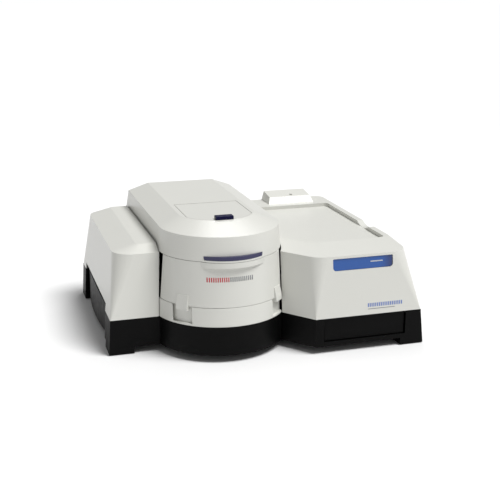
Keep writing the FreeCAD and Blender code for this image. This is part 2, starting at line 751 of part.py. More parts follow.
def window_shape(wide, tall, thick, sunk, corner):
    """A plate in the plane of the right cover's front face, sunk behind it."""
    centre_x = s.window_left + s.window_wide / 2
    centre_z = s.window_low + s.window_tall / 2
    half = wide / 2
    corners = [(-half, -tall / 2, corner), (half, -tall / 2, corner),
               (half, tall / 2, corner / 3), (-half, tall / 2, corner / 3)]
    shape = slab(rounded_wire(corners, 0), thick)
    shape.translate(Vector(0, 0, -thick - sunk))
    shape.rotate(Vector(), X_AXIS, QUARTER - math.degrees(math.atan(s.cover_draft)))
    shape.translate(Vector(centre_x, front_face_y(centre_z), centre_z))
    return shape


def build_right_cover():
    """White cover over the optics, with the tray, the raised block and the window's opening."""
    tall_cut = 3 * s.cover_wall
    opening = window_shape(s.window_wide, s.window_tall, tall_cut + 10, -tall_cut, s.window_corner)
    cap_y = s.hump_front + s.hump_slope + 3 * s.cap_radius
    outer = right_solid().fuse(hump())
    outer = outer.cut(middle_space(0, False))
    inner = right_hollow().cut(middle_space(s.cover_wall, False))
    tools = [inner, tray_tool(), opening, grip_notch(1)] + beam_ports(s.lid_right - 20, s.lid_right + 20)
    shape = outer.cut(tools)
    keep(made("RightCover", shape.removeSplitter()), "right_cover")
    slope = (s.hump_back_top - s.hump_front_top) / (s.cover_back - s.hump_front - s.hump_slope)
    cap_z = s.hump_front_top + slope * 5 * s.cap_radius
    centre_x = (s.hump_left + s.hump_right) / 2 + s.hump_slope / 2
    cap = Part.makeCylinder(s.cap_radius, s.cap_radius / 2, Vector(centre_x, cap_y, cap_z), Z_AXIS)
    keep(made("HumpCap", cap), "screw_cap")


def build_window():
    """Blue status window and the light board behind it."""
    gap = s.fit_gap
    pane = window_shape(s.window_wide - 2 * gap, s.window_tall - 2 * gap, s.window_thick, s.window_sunk,
                        s.window_corner - gap)
    keep(made("StatusWindow", pane), "status_window")
    board = window_shape(s.window_wide + 8, s.window_tall - 4, s.board_thick,
                         s.window_sunk + s.window_thick + 2 * s.cover_wall, 1.0)
    lights = []
    for step in (-40, 0, 40):
        light = window_shape(5.0, 5.0, 2 * s.cover_wall, s.window_sunk + s.window_thick + s.fit_gap, 0.6)
        light.translate(Vector(step, 0, 0))
        lights.append(light)
    board = board.fuse(lights)
    keep(made("StatusBoard", board), "status_board")


def sector(shape, left_limit, right_limit):
    """The stretch of a drum shell that shows between the two covers."""
    far = s.base_width
    behind = block(-far, far, left_limit, far, 0, 2 * s.lid_top)
    beside = block(right_limit, far, -far, far, 0, 2 * s.lid_top)
    return shape.cut([behind, beside])


def drum_limits():
    """Rear limit on the left and right limit of the drum's removable pieces."""
    meet = diagonal_meets_drum(0, s.drum_radius)
    return s.left_front + s.drum_gap, meet.x - s.drum_gap


def clip_shape(side, grow=0.0):
    """A clip on the front panel, turned to face outwards; side is -1 or 1."""
    low = s.ring_top + s.panel_gap - s.clip_drop
    radius = drum_at(s.ring_top)
    half = s.clip_wide / 2
    inner = radius - s.panel_wall + 0.5
    outer_low = radius + s.clip_stand
    outer_top = drum_at(low + s.clip_tall) + 0.8
    points = [(inner - 1.5, low), (outer_low, low), (outer_low - 0.5, low + s.clip_drop),
              (outer_top, low + s.clip_tall),
              (inner - 1.5, low + s.clip_tall)]
    profile = [Vector(-half - grow, -r, z) for r, z in points]
    face = Part.Face(Part.makePolygon(profile + profile[:1]))
    shape = face.extrude(Vector(2 * half + 2 * grow, 0, 0))
    shape.rotate(Vector(), Z_AXIS, side * s.clip_angle)
    shape.translate(Vector(s.middle_x, s.drum_y, 0))
    return shape


def clip_pocket(side):
    """The pocket in the lower ring under a clip, open towards the front so that the panel pulls off."""
    turn = math.radians(s.clip_angle)
    centre_x = s.middle_x + side * math.sin(turn) * s.ring_radius
    depth_y = s.drum_y - math.cos(turn) * s.ring_radius
    half = s.clip_pocket_wide / 2
    # The pocket's rear wall follows the drum, a set depth behind its surface.
    reach = block(centre_x - half, centre_x + half, depth_y - 200, depth_y + 60, s.base_top + 4,
                  s.ring_top + 1)
    return reach.cut(cone(s.base_top, s.ring_top + 5, -s.clip_pocket_deep))


def build_ring():
    """Fixed lower ring of the drum, with a pocket under each clip."""
    shell = cone(s.base_top, s.ring_top).cut(cone(s.base_top - 1, s.ring_top + 1, -s.ring_wall))
    left, right = drum_limits()
    shell = sector(shell, left + 8, right + s.drum_gap)
    shell = shell.cut([clip_pocket(-1), clip_pocket(1)])
    keep(made("LowerRing", shell.removeSplitter()), "lower_ring")


def build_front_panel():
    """Removable front panel with its two clips."""
    low = s.ring_top + s.panel_gap
    high = s.lid_low - s.panel_gap
    inner = cone(low - 1, high + 1, -s.panel_wall)
    shell = cone(low, high).fuse([clip_shape(-1), clip_shape(1)]).cut(inner)
    low_space = cone(s.base_top, low, -s.clip_pocket_deep + 1.2)
    left, right = drum_limits()
    shell = sector(shell.cut(low_space).fuse(panel_ledge()), left, right)
    keep(made("FrontPanel", shell.removeSplitter()), "front_panel")


def lid_wire(height, radius, centre_y, back):
    """Plan outline of the lid at a height: a round front and a straight rear."""
    left = s.middle_x - radius
    right = s.middle_x + radius
    front_left = Vector(left, centre_y, height)
    front_right = Vector(right, centre_y, height)
    fore = Vector(s.middle_x, centre_y - radius, height)
    back_left = Vector(left, back, height)
    back_right = Vector(right, back, height)
    return Part.Wire([
        Part.Arc(front_left, fore, front_right).toShape(),
        Part.LineSegment(front_right, back_right).toShape(),
        Part.LineSegment(back_right, back_left).toShape(),
        Part.LineSegment(back_left, front_left).toShape(),
    ])


def lid_back_at(height):
    """The lid's rear face at a height."""
    return s.lid_back - s.lid_back_lean * (height - s.lid_low)


def lid_solid(wall):
    """The lid's outer solid, or its hollow when a wall is given."""
    low = s.lid_low - (1 if wall else 0)
    back = wall * 1.1
    top = s.lid_top - wall
    edge = s.lid_edge - wall / 2
    flat = s.flat_radius - wall / 2
    return ruled([
        lid_wire(low, drum_at(low) - wall, s.drum_y, lid_back_at(low) - back),
        lid_wire(edge, drum_at(edge) - wall, s.drum_y, lid_back_at(edge) - back),
        lid_wire(top, flat, s.flat_front_y, lid_back_at(top) - back),
    ])


def hatch_wire(height, grow):
    """Outline of the hatch, grown all round."""
    half = s.hatch_half + grow
    radius = s.hatch_radius + grow
    back = s.hatch_back + grow
    meet = s.flat_front_y - math.sqrt(radius ** 2 - half ** 2)
    left = s.middle_x - half
    right = s.middle_x + half
    corners = [Vector(left, meet, height), Vector(s.middle_x, s.flat_front_y - radius, height),
               Vector(right, meet, height), Vector(right, back, height), Vector(left, back, height)]
    return Part.Wire([
        Part.Arc(corners[0], corners[1], corners[2]).toShape(),
        Part.LineSegment(corners[2], corners[3]).toShape(),
        Part.LineSegment(corners[3], corners[4]).toShape(),
        Part.LineSegment(corners[4], corners[0]).toShape(),
    ])


def crescent(half_length, stand, low, high, inner_gap, radius):
    """A crescent proud of the drum's front between two heights, clear of the drum by a gap."""
    drop = math.sqrt(radius ** 2 - half_length ** 2)
    left = Vector(s.middle_x - half_length, s.drum_y - drop, low)
    right = Vector(s.middle_x + half_length, s.drum_y - drop, low)
    fore = Vector(s.middle_x, s.drum_y - radius - stand, low)
    back = s.drum_y - drop + 12
    wire = Part.Wire([
        Part.Arc(left, fore, right).toShape(),
        Part.LineSegment(right, Vector(right.x, back, low)).toShape(),
        Part.LineSegment(Vector(right.x, back, low), Vector(left.x, back, low)).toShape(),
        Part.LineSegment(Vector(left.x, back, low), left).toShape(),
    ])
    return slab(wire, high - low).cut(cone(low - 1, high + 1, inner_gap))


def finger_lip():
    """The lid's finger lip: a thin crescent that carries the grip strip."""
    return crescent(s.handle_half, s.handle_stand, s.lid_low, s.handle_top, -s.lid_wall,
                    drum_at(s.handle_low))


def panel_ledge():
    """The front panel's ledge, which carries the finger lip's line down on to the panel."""
    return crescent(s.handle_half, s.handle_stand, s.handle_low, s.lid_low - s.panel_gap, -s.panel_wall,
                    drum_at(s.handle_low))


def hinge_x(side):
    """Centre of a lid hinge along X."""
    return s.middle_x + side * s.hinge_spread


def lid_knuckle(side):
    """A knuckle moulded on the lid's rear wall, with its lug up into the lid."""
    start = hinge_x(side) - s.knuckle_wide / 2
    axis_point = Vector(start, s.hinge_y, s.hinge_z)
    barrel = Part.makeCylinder(s.hinge_radius, s.knuckle_wide, axis_point, X_AXIS)
    lug_top = s.hinge_z + 5 * s.hinge_radius
    lug = block(start, start + s.knuckle_wide, s.hinge_y - s.hinge_radius, s.hinge_y + s.hinge_radius / 2,
                s.hinge_z, lug_top)
    lug = lug.common(ruled([
        lid_wire(s.hinge_z - 1, drum_at(s.lid_low) - 1, s.drum_y, s.lid_back - 1),
        lid_wire(s.lid_low, drum_at(s.lid_low) - 1, s.drum_y, s.lid_back - 1),
        lid_wire(s.lid_edge, drum_at(s.lid_edge) - 1, s.drum_y, lid_back_at(s.lid_edge) - 1),
    ]))
    return barrel.fuse(lug)


def build_lid():
    """White lid over the sample compartment, hinged at its rear."""
    shape = lid_solid(0).cut(lid_solid(s.lid_wall))
    shape = shape.fuse([finger_lip(), lid_knuckle(-1), lid_knuckle(1)])
    ledge_top = s.lid_top - s.hatch_thick - s.fit_gap
    ledge = slab(hatch_wire(ledge_top - s.ledge_thick, s.ledge_in - 3), s.ledge_thick + 1.2)
    ledge = ledge.cut(slab(hatch_wire(ledge_top - s.ledge_thick - 1, -s.ledge_in), s.ledge_thick + 4))
    behind = s.barrel_y - 3 * s.barrel_radius
    ledge = ledge.cut(block(-s.base_width, s.base_width, behind, s.base_depth, 0, 2 * s.lid_top))
    lugs = []
    for side in (-1, 1):
        inner = s.middle_x + side * (s.hatch_half + s.hatch_gap)
        xs = sorted((inner, inner + side * 5.0))
        lugs.append(block(xs[0], xs[1], s.barrel_y - 5, s.barrel_y + 5, s.barrel_z - 3.5, s.lid_top - 1))
    shape = shape.fuse([ledge] + lugs)
    opening = slab(hatch_wire(ledge_top, s.hatch_gap), 3 * s.lid_wall)
    opening = opening.fuse(slab(hatch_wire(ledge_top - 2 * s.ledge_thick, -s.ledge_in), 4 * s.lid_wall))
    pin_length = 2 * (s.hatch_half + s.hatch_gap + 3.5)
    pin_start = Vector(s.middle_x - pin_length / 2, s.barrel_y, s.barrel_z)
    pin_hole = Part.makeCylinder(s.hatch_pin_radius + s.pin_fit / 2, pin_length, pin_start, X_AXIS)
    under_barrel = block(s.middle_x - s.hatch_half - s.hatch_gap, s.middle_x + s.hatch_half + s.hatch_gap,
                         behind, s.hatch_back + s.hatch_gap, s.barrel_z - 5, s.lid_top + 1)
    bores = []
    for side in (-1, 1):
        start = Vector(hinge_x(side) - s.knuckle_wide, s.hinge_y, s.hinge_z)
        bores.append(Part.makeCylinder(s.pin_radius + s.pin_fit, 2 * s.knuckle_wide, start, X_AXIS))
    shape = shape.cut([opening, pin_hole, under_barrel] + bores)
    keep(made("Lid", shape.removeSplitter()), "lid")
    pin = Part.makeCylinder(s.hatch_pin_radius, pin_length - 0.4, pin_start + Vector(0.2, 0, 0), X_AXIS)
    keep(made("HatchPin", pin), "hatch_pin")


def build_strip():
    """Coloured grip strip on the finger lip."""
    low = s.handle_top
    strip = crescent(s.strip_half, s.handle_stand - 0.8, low, low + s.strip_tall, s.fit_gap, drum_at(low))
    keep(made("GripStrip", strip), "grip_strip")


def build_hatch():
    """Hatch in the lid's flat top, with a rolled rear edge round its pin, and its finger pull."""
    low = s.lid_top - s.hatch_thick
    leaf = slab(hatch_wire(low, 0), s.hatch_thick)
    start = Vector(s.middle_x - s.hatch_half, s.barrel_y, s.barrel_z)
    barrel = Part.makeCylinder(s.barrel_radius, 2 * s.hatch_half, start, X_AXIS)
    behind = block(-s.base_width, s.base_width, s.barrel_y, s.base_depth, 0, 2 * s.lid_top)
    bore = Part.makeCylinder(s.hatch_pin_radius + s.pin_fit, 2 * s.hatch_half, start, X_AXIS)
    stem_hole = block(s.middle_x - 5, s.middle_x + 5, s.pull_front + 6, s.pull_front + 11, low - 1,
                      s.lid_top + 1)
    shape = leaf.cut(behind).fuse(barrel).cut([bore, stem_hole])
    keep(made("Hatch", shape.removeSplitter()), "hatch")
    gap = s.fit_gap / 2
    half = s.pull_wide / 2
    cap = block(s.middle_x - half, s.middle_x + half, s.pull_front, s.pull_front + s.pull_deep,
                s.lid_top + gap, s.lid_top + s.pull_tall)
    cap = cap.makeFillet(1.6, [edge for edge in cap.Edges if edge.BoundBox.ZMin > s.lid_top + 1])
    stem = block(s.middle_x - 5 + gap, s.middle_x + 5 - gap, s.pull_front + 6 + gap,
                 s.pull_front + 11 - gap,
                 low - 1.5, s.lid_top + 1)
    keep(made("HatchPull", cap.fuse(stem)), "hatch_pull")


def build_hinges():
    """Brackets on the deck and pins for the lid's two hinges."""
    ears = []
    pins = []
    for side in (-1, 1):
        for end in (-1, 1):
            inner = hinge_x(side) + end * (s.knuckle_wide / 2 + s.fit_gap)
            xs = sorted((inner, inner + end * s.ear_wide))
            ring = Part.makeCylinder(s.hinge_radius, s.ear_wide, Vector(xs[0], s.hinge_y, s.hinge_z),
                                     X_AXIS)
            web = block(xs[0], xs[1], s.hinge_y - 22, s.hinge_y - 3, s.deck_z + s.deck_thick, s.hinge_z + 2)
            bore = Part.makeCylinder(s.pin_radius + s.pin_fit, s.ear_wide,
                                     Vector(xs[0], s.hinge_y, s.hinge_z), X_AXIS)
            ears.append(ring.fuse(web).cut(bore).removeSplitter())
        reach = s.knuckle_wide / 2 + s.fit_gap + s.ear_wide
        start = Vector(hinge_x(side) - reach, s.hinge_y, s.hinge_z)
        pins.append(Part.makeCylinder(s.pin_radius, 2 * reach, start, X_AXIS))
    keep(made("HingeBrackets", Part.Compound(ears)), "hinge_brackets")
    keep(made("HingePins", Part.Compound(pins)), "hinge_pins")


def build_deck():
    """Deck that closes the space under the lid's rear half."""
    wide = "(lid_right - lid_left - 2 * fit_gap)"
    deep = "(hinge_y - 9 - liner_back - fit_gap)"
    at = ("lid_left + fit_gap + " + wide + " / 2", "liner_back + fit_gap + " + deep + " / 2", "deck_z")
    keep(plate("Deck", at, wide, deep, "deck_thick"), "rear_deck")


def build_liner():
    """Dark liner of the sample compartment, open at the top and at its front."""
    wall = s.liner_wall
    low = s.liner_floor - wall

    def tub(shrink, floor):
        drum = Part.makeCylinder(s.liner_radius - shrink, s.liner_top + 1 - floor,
                                 Vector(s.middle_x, s.drum_y, floor), Z_AXIS)
        rear = block(s.middle_x - s.liner_radius + shrink, s.middle_x + s.liner_radius - shrink, s.drum_y,
                     s.liner_back - shrink, floor, s.liner_top + 1)
        return drum.fuse(rear)

    far = s.base_width
    top = block(-far, far, -far, far, s.liner_top, 2 * s.lid_top)
    front = block(-far, far, -far, s.drum_y - s.liner_radius / 2, s.ring_top + 2, 2 * s.lid_top)
    shape = tub(0, low).cut([tub(wall, s.liner_floor), top, front])
    shape = shape.cut(beam_ports(s.middle_x - 1.2 * s.liner_radius, s.middle_x + 1.2 * s.liner_radius))
    keep(made("Liner", shape.removeSplitter()), "compartment_liner")


def build_windows():
    """Quartz windows behind the liner's beam ports."""
    panes = []
    out = "(liner_radius + fit_gap)"
    for index, beam in enumerate(("sample_y", "reference_y")):
        left = "middle_x - " + out + " - 2"
        panes.append(rod_x("PaneL%d" % index, (left, beam, "beam_z"), "port_radius + 2", "2"))
        panes.append(rod_x("PaneR%d" % index, ("middle_x + " + out, beam, "beam_z"), "port_radius + 2",
                           "2"))
    keep(group("BeamWindows", panes), "beam_windows")


def build_holder(name, label, beam):
    """A cell holder: block with a square well and a beam slot through it."""
    half = "holder_size / 2"
    body = box(name + "Block", ("middle_x - " + half, beam + " - " + half, "liner_floor"),
               ("holder_size", "holder_size", "holder_tall"))
    well = box(name + "Well", ("middle_x - cell_size / 2", beam + " - cell_size / 2",
                               "liner_floor + holder_tall - cell_deep"),
               ("cell_size", "cell_size", "cell_deep + 1"))
    slot = box(name + "Slot", ("middle_x - holder_size", beam + " - 4", "beam_z - 9"),
               ("2 * holder_size", "8", "18"))
    keep(cut(name, body, [well, slot]), label)


def posts_under(prefix, places):
    """Posts from the base's floor to an optical plate."""
    return [rod("%sPost%d" % (prefix, i), (x, y, "floor_top"), "post_radius", "plate_low - floor_top")
            for i, (x, y) in enumerate(places)]


def build_plates():
    """Aluminium plates that carry the optics, and their posts."""
    right = box("RightPlate", ("optics_left", "front_y + optics_front", "plate_low"),
                ("optics_wide", "base_depth - optics_front - optics_rear", "plate_thick"))
    hole = rod("ShaftHole", ("grating_x", "grating_y", "plate_low - 1"), "shaft_radius + 3",
               "plate_thick + 2")
    corner_lift = box("PlateNotch", ("0", "front_y", "plate_low - 1"),
                      ("100", "optics_front + optics_notch", "plate_thick + 2"))
    keep(cut("OpticsPlate", right, [hole, corner_lift]), "optics_plate")
    keep(box("DetectorPlate", ("lid_left - detector_reach", "sample_y - 14", "plate_low"),
             ("detector_wide", "detector_deep", "plate_thick")), "detector_plate")
    places = [("112", "front_y + 168"), ("270", "front_y + 168"), ("74", "back_y - post_clear"),
              ("270", "back_y - post_clear")]
    places += [("lid_left - 70", "sample_y - 4"), ("lid_left - 24", "sample_y - 4"),
               ("lid_left - 70", "sample_y + 136"), ("lid_left - 24", "sample_y + 136")]
    posts = posts_under("Plate", places)
    liner = [("middle_x - 70", "drum_y - 40"), ("middle_x + 70", "drum_y - 40"),
             ("middle_x - 90", "liner_back - 20"), ("middle_x + 90", "liner_back - 20")]
    posts += [rod("LinerPost%d" % i, (x, y, "floor_top"), "post_radius",
                  "liner_floor - liner_wall - floor_top")
              for i, (x, y) in enumerate(liner)]
    keep(group("SupportPosts", posts), "support_posts")


def build_monochromator():
    """Monochromator housing and its cover plate."""
    wall = "mono_wall"
    body = box("MonoBlock", ("mono_left", "mono_front", "plate_top"),
               ("mono_wide", "mono_deep", "mono_tall"))
    inside = box("MonoInside", ("mono_left + " + wall, "mono_front + " + wall, "mono_floor"),
                 ("mono_wide - 2 * mono_wall", "mono_deep - 2 * mono_wall", "mono_tall"))
    ports = rod_y("MonoPorts", ("source_x", "mono_front - 1", "beam_z"), "port_radius", "mono_deep + 2")
    hole = rod("MonoShaftHole", ("grating_x", "grating_y", "plate_top - 1"), "shaft_radius + 3",
               "mono_wall + 2")
    keep(cut("MonoHousing", body, [inside, ports, hole]), "monochromator_housing")
    at = ("mono_left + mono_wide / 2", "mono_front + mono_deep / 2", "mono_top")
    keep(plate("MonoCover", at, "mono_wide", "mono_deep", "3"), "monochromator_cover")


def build_slits():
    """Entrance and exit slit plates inside the monochromator's end walls."""
    plates = []
    for name, y in (("Exit", "mono_front + mono_wall"), ("Entrance", "mono_back - mono_wall - 1")):
        leaf = box(name + "Leaf", ("source_x - 14", y, "beam_z - 14"), ("28", "1", "28"))
        slot = box(name + "Slot", ("source_x - 0.5", y + " - 1", "beam_z - 6"), ("1", "3", "12"))
        plates.append(cut(name + "Slit", leaf, [slot]))
    keep(group("SlitPlates", plates), "slit_plates")


def mirror(name, at, angle):
    """A round mirror on a post, its face turned by an angle about the vertical."""
    glass = rod_y(name + "Glass", ("0", "0", "0"), "14", "6")
    glass.Placement = Placement(Vector(), Rotation(Z_AXIS, angle) * Rotation(X_AXIS, -QUARTER))
    for letter, text in zip("xyz", at):
        glass.setExpression("Placement.Base." + letter, bound(text))
    return glass


def build_mirrors():
    """Collimating and focusing mirrors, the beam splitter and the fold mirror, each on its mount."""
    pairs = [("Collimating", "mono_left + 24", "grating_y + 38", -70),
             ("Focusing", "mono_left + 24", "grating_y - 38", -110)]
    glasses = []
    mounts = []
    for name, x, y, angle in pairs:
        glasses.append(mirror(name, (x, y, "beam_z"), angle))
        mounts.append(box(name + "Mount", (x + " - 2", y + " - 5", "mono_floor"),
                          ("10", "10", "beam_z - mono_floor - 14.4")))
    keep(group("MonoMirrors", glasses), "monochromator_mirrors")
    keep(group("MirrorMounts", mounts), "mirror_mounts")
    splitter = box("SplitterPlate", ("source_x", "reference_y", "plate_top + 16"), ("26", "2", "44"))
    splitter.Placement = Placement(Vector(), Rotation(Z_AXIS, -45))
    for letter, text in zip("xyz", ("source_x - 9", "reference_y + 9", "beam_z - 18")):
        splitter.setExpression("Placement.Base." + letter, bound(text))
    keep(splitter, "beam_splitter")
    fold = box("FoldPlate", ("source_x", "sample_y", "plate_top + 16"), ("28", "5", "36"))
    fold.Placement = Placement(Vector(), Rotation(Z_AXIS, -45))
    for letter, text in zip("xyz", ("source_x - 9", "sample_y + 9", "beam_z - 18")):
        fold.setExpression("Placement.Base." + letter, bound(text))
    keep(fold, "fold_mirror")
    stands = [box("StandA", ("source_x - 11", "reference_y - 11", "plate_top"),
                  ("22", "22", "beam_z - 18.3 - plate_top")),
              box("StandB", ("source_x - 11", "sample_y - 11", "plate_top"),
                  ("22", "22", "beam_z - 18.3 - plate_top"))]
    keep(group("OpticStands", stands), "optic_stands")


def build_lenses():
    """Lens cells between the fold optics and the compartment, one on each beam."""
    cells = []
    glasses = []
    for name, beam in (("Sample", "sample_y"), ("Reference", "reference_y")):
        body = box(name + "CellBlock", ("108", beam + " - 14", "plate_top"),
                   ("10", "28", "beam_z + 14 - plate_top"))
        bore = rod_x(name + "CellBore", ("107", beam, "beam_z"), "11", "12")
        cells.append(cut(name + "Cell", body, [bore]))
        glasses.append(rod_x(name + "Lens", ("110", beam, "beam_z"), "10.8", "6"))
    keep(group("LensCells", cells), "lens_cells")
    keep(group("Lenses", glasses), "lenses")


def build_grating():
    """Grating turret on its shaft, the grating, and the stepper below the plate."""
    motor = box("MotorBlock", ("grating_x - 20", "grating_y - 20", "plate_low - 34"), ("40", "40", "34"))
    bore = rod("MotorBore", ("grating_x", "grating_y", "plate_low - 14"), "shaft_radius + pin_fit", "20")
    keep(cut("GratingMotor", motor, [bore]), "grating_motor")
    turret = disc("TurretDisc", ("grating_x", "grating_y", "mono_floor + 3"), "turret_radius", "6")
    shaft = rod("TurretShaft", ("grating_x", "grating_y", "plate_low - 13"), "shaft_radius",
                "mono_floor + 4 - plate_low + 13")
    keep(fuse("Turret", [turret, shaft]), "grating_turret")
    keep(box("Grating", ("grating_x - grating_thick / 2", "grating_y - grating_size / 2", "mono_floor + 9"),
             ("grating_thick", "grating_size", "grating_size + 8")), "diffraction_grating")


def build_filter_wheel():
    """Filter wheel with six order filters, its motor and the motor's bracket."""
    body = document.addObject("PartDesign::Body", "WheelBody")
    pad(body, "WheelPad", circle_sketch(body, "WheelRim", "wheel_radius"), "wheel_thick")
    document.recompute()
    hole = through(body, "WheelHole", circle_sketch(body, "WheelHoleRim", "filter_radius + pin_fit",
                                                    "wheel_pitch"))
    ring = body.newObject("PartDesign::PolarPattern", "WheelHoles")
    ring.Originals = [hole]
    ring.Axis = ([item for item in body.Origin.OriginFeatures if item.Role == "Z_Axis"][0], [""])
    ring.Angle = 360
    ring.Occurrences = 6
    body.Tip = ring
    place(body, ("wheel_x", "wheel_y", "beam_z"), X_AXIS, -QUARTER)
    shaft = rod_y("WheelShaft", ("wheel_x", "wheel_y + wheel_thick - 1", "beam_z"), "shaft_radius", "9")
    keep(fuse("FilterWheel", [body, shaft]), "filter_wheel")
    glasses = []
    for i in range(6):
        turn = math.radians(60 * i)
        across = "wheel_x + wheel_pitch * %.6f" % math.cos(turn)
        up = "beam_z + wheel_pitch * %.6f" % math.sin(turn)
        glasses.append(rod_y("Filter%d" % i, (across, "wheel_y + 0.5", up), "filter_radius",
                             "wheel_thick - 1"))
    keep(group("Filters", glasses), "order_filters")
    motor = rod_y("WheelMotorCan", ("wheel_x", "wheel_y + wheel_thick + 2", "beam_z"), "12", "12")
    foot = box("WheelMotorFoot", ("wheel_x - 9", "wheel_y + wheel_thick + 3", "plate_top"),
               ("18", "10", "beam_z - plate_top - 6"))
    bore = rod_y("WheelMotorBore", ("wheel_x", "wheel_y", "beam_z"), "shaft_radius + pin_fit", "14")
    keep(cut("FilterMotor", fuse("WheelMotorBody", [motor, foot]), [bore]), "filter_motor")


def build_lamp():
    """Lamp housing with cooling fins, and the xenon lamp inside it."""
    left = "source_x - lamp_wide / 2"
    body = box("LampBlock", (left, "lamp_front", "plate_top"), ("lamp_wide", "lamp_deep", "lamp_tall"))
    inside = box("LampInside", (left + " + 5", "lamp_front + 5", "plate_top + 5"),
                 ("lamp_wide - 10", "lamp_deep - 10", "lamp_tall - 12"))
    port = rod_y("LampPort", ("source_x", "lamp_front - 1", "beam_z"), "port_radius", "8")
    grooves = [box("LampGroove%d" % i, (left + " + %d" % (4 + 9 * i), "lamp_front - 1",
                                        "plate_top + lamp_tall - 5"),
                   ("4", "lamp_deep + 2", "6")) for i in range(9)]
    keep(cut("LampHousing", body, [inside, port] + grooves), "lamp_housing")
    bulb = rod_y("LampBulb", ("source_x", "lamp_front + 26", "beam_z"), "lamp_radius", "24")
    base = rod_y("LampBase", ("source_x", "lamp_front + 50", "beam_z"), "lamp_radius + 6",
                 "lamp_deep - 55.3")
    keep(bulb, "xenon_lamp")
    keep(base, "lamp_socket")


def build_detectors():
    """Detector boxes on the left, with their shared board."""
    boxes = []
    for name, beam in (("Sample", "sample_y"), ("Reference", "reference_y")):
        body = box(name + "Detector", ("lid_left - 44", beam + " - 13", "plate_top"),
                   ("28", "26", "beam_z + 15 - plate_top"))
        port = rod_x(name + "DetectorPort", ("lid_left - 26", beam, "beam_z"), "7", "12")
        boxes.append(cut(name + "DetectorBox", body, [port]))
    keep(group("Detectors", boxes), "detectors")
    keep(box("DetectorBoard", ("lid_left - 44 - board_thick - fit_gap", "sample_y - 13", "plate_top + 0.3"),
             ("board_thick", "reference_y - sample_y + 26", "50")), "detector_board")


def build_electronics():
    """Main board on its stand-offs, and the power supply."""
    board = box("MainBoardPlate", ("middle_x - 96", "12", "board_z"), ("190", "190", "board_thick"))
    chips = [box("Chip%d" % i, ("middle_x - 80 + %d" % x, "%d" % y, "board_z + board_thick - 0.2"),
                 ("%d" % w, "%d" % d, "%d" % t))
             for i, (x, y, w, d, t) in enumerate([(10, 40, 26, 26, 3), (60, 60, 34, 22, 4),
                                                  (118, 40, 18, 40, 12),
                                                  (20, 120, 40, 14, 9), (90, 140, 22, 22, 5)])]
    keep(fuse("MainBoard", [board] + chips), "main_board")
    stands = [rod("Standoff%d" % i, ("middle_x + %d" % x, "%d" % y, "floor_top"), "4",
                  "board_z - floor_top")
              for i, (x, y) in enumerate([(-90, 18), (88, 18), (-90, 196), (88, 196)])]
    keep(group("BoardStandoffs", stands), "board_standoffs")
    keep(box("PowerSupply", ("-base_width / 2 + supply_inset", "back_y - rear_clear - supply_deep",
                             "floor_top"),
             ("supply_wide", "supply_deep", "supply_tall")), "power_supply")


def build_drawer():
    """Accessory drawer in the base, on two runners."""
    gap = "drawer_gap"
    front = box("DrawerFront", ("drawer_left + " + gap, "drawer_front", "drawer_low + 1"),
                ("drawer_wide - 2 * drawer_gap", "3", "drawer_tall - 2"))
    tub = box("DrawerTub", ("drawer_left + drawer_gap + 2", "drawer_front + 3", "drawer_low + 1"),
              ("drawer_wide - 2 * drawer_gap - 4", "drawer_deep", "drawer_tall - 9"))
    inside = box("DrawerInside", ("drawer_left + drawer_gap + 2 + drawer_wall", "drawer_front + 3",
                                  "drawer_low + 1 + drawer_wall"),
                 ("drawer_wide - 2 * drawer_gap - 4 - 2 * drawer_wall", "drawer_deep - drawer_wall",
                  "drawer_tall"))
    keep(cut("Drawer", fuse("DrawerBlank", [front, tub]), [inside]), "drawer")
    runners = []
    for i, x in enumerate(("drawer_left + 8", "drawer_left + drawer_wide - 8 - runner_wide")):
        runners.append(box("Runner%d" % i, (x, "front_y + base_wall + 6", "floor_top"),
                           ("runner_wide", "drawer_deep", "drawer_low + 1 - fit_gap - floor_top")))
    keep(group("Runners", runners), "drawer_runners")


def build_rear_panel():
    """Rear panel with its openings, and what is fitted in them."""
    wide = "(lid_right - lid_left - 2 * fit_gap)"
    tall = "(rear_panel_top - base_top)"
    sheet_metal = box("RearSheet", ("lid_left + fit_gap", "rear_panel_y", "base_top"),
                      (wide, "rear_panel_thick", tall))
    tools = [
        rod_y("FanHole", ("fan_x", "rear_panel_y - 1", "fan_z"), "fan_radius + 1.5", "5"),
        box("InletHole", ("inlet_x - 14", "rear_panel_y - 1", "service_z - 11"), ("28", "5", "22")),
        box("SwitchHole", ("switch_x - 10", "rear_panel_y - 1", "service_z - 13"), ("20", "5", "26")),
        box("SocketHole", ("socket_x - 7", "rear_panel_y - 1", "service_z - 7"), ("14", "5", "14")),
    ]
    corners = [("lid_left + 9", "base_top + 8"), ("lid_right - 9", "base_top + 8"),
               ("lid_left + 9", "rear_panel_top - 8"), ("lid_right - 9", "rear_panel_top - 8")]
    for i, (x, z) in enumerate(corners):
        tools.append(rod_y("ScrewHole%d" % i, (x, "rear_panel_y - 1", z), "screw_shank + 0.15", "5"))
    keep(cut("RearPanel", sheet_metal, tools), "rear_panel")
    screws = []
    for i, (x, z) in enumerate(corners):
        head = rod_y("ScrewHead%d" % i, (x, "rear_panel_y + rear_panel_thick", z), "screw_head", "2")
        shank = rod_y("ScrewShank%d" % i, (x, "rear_panel_y - 6", z), "screw_shank", "8.5")
        screws.append(fuse("Screw%d" % i, [head, shank]))
    keep(group("PanelScrews", screws), "panel_screws")


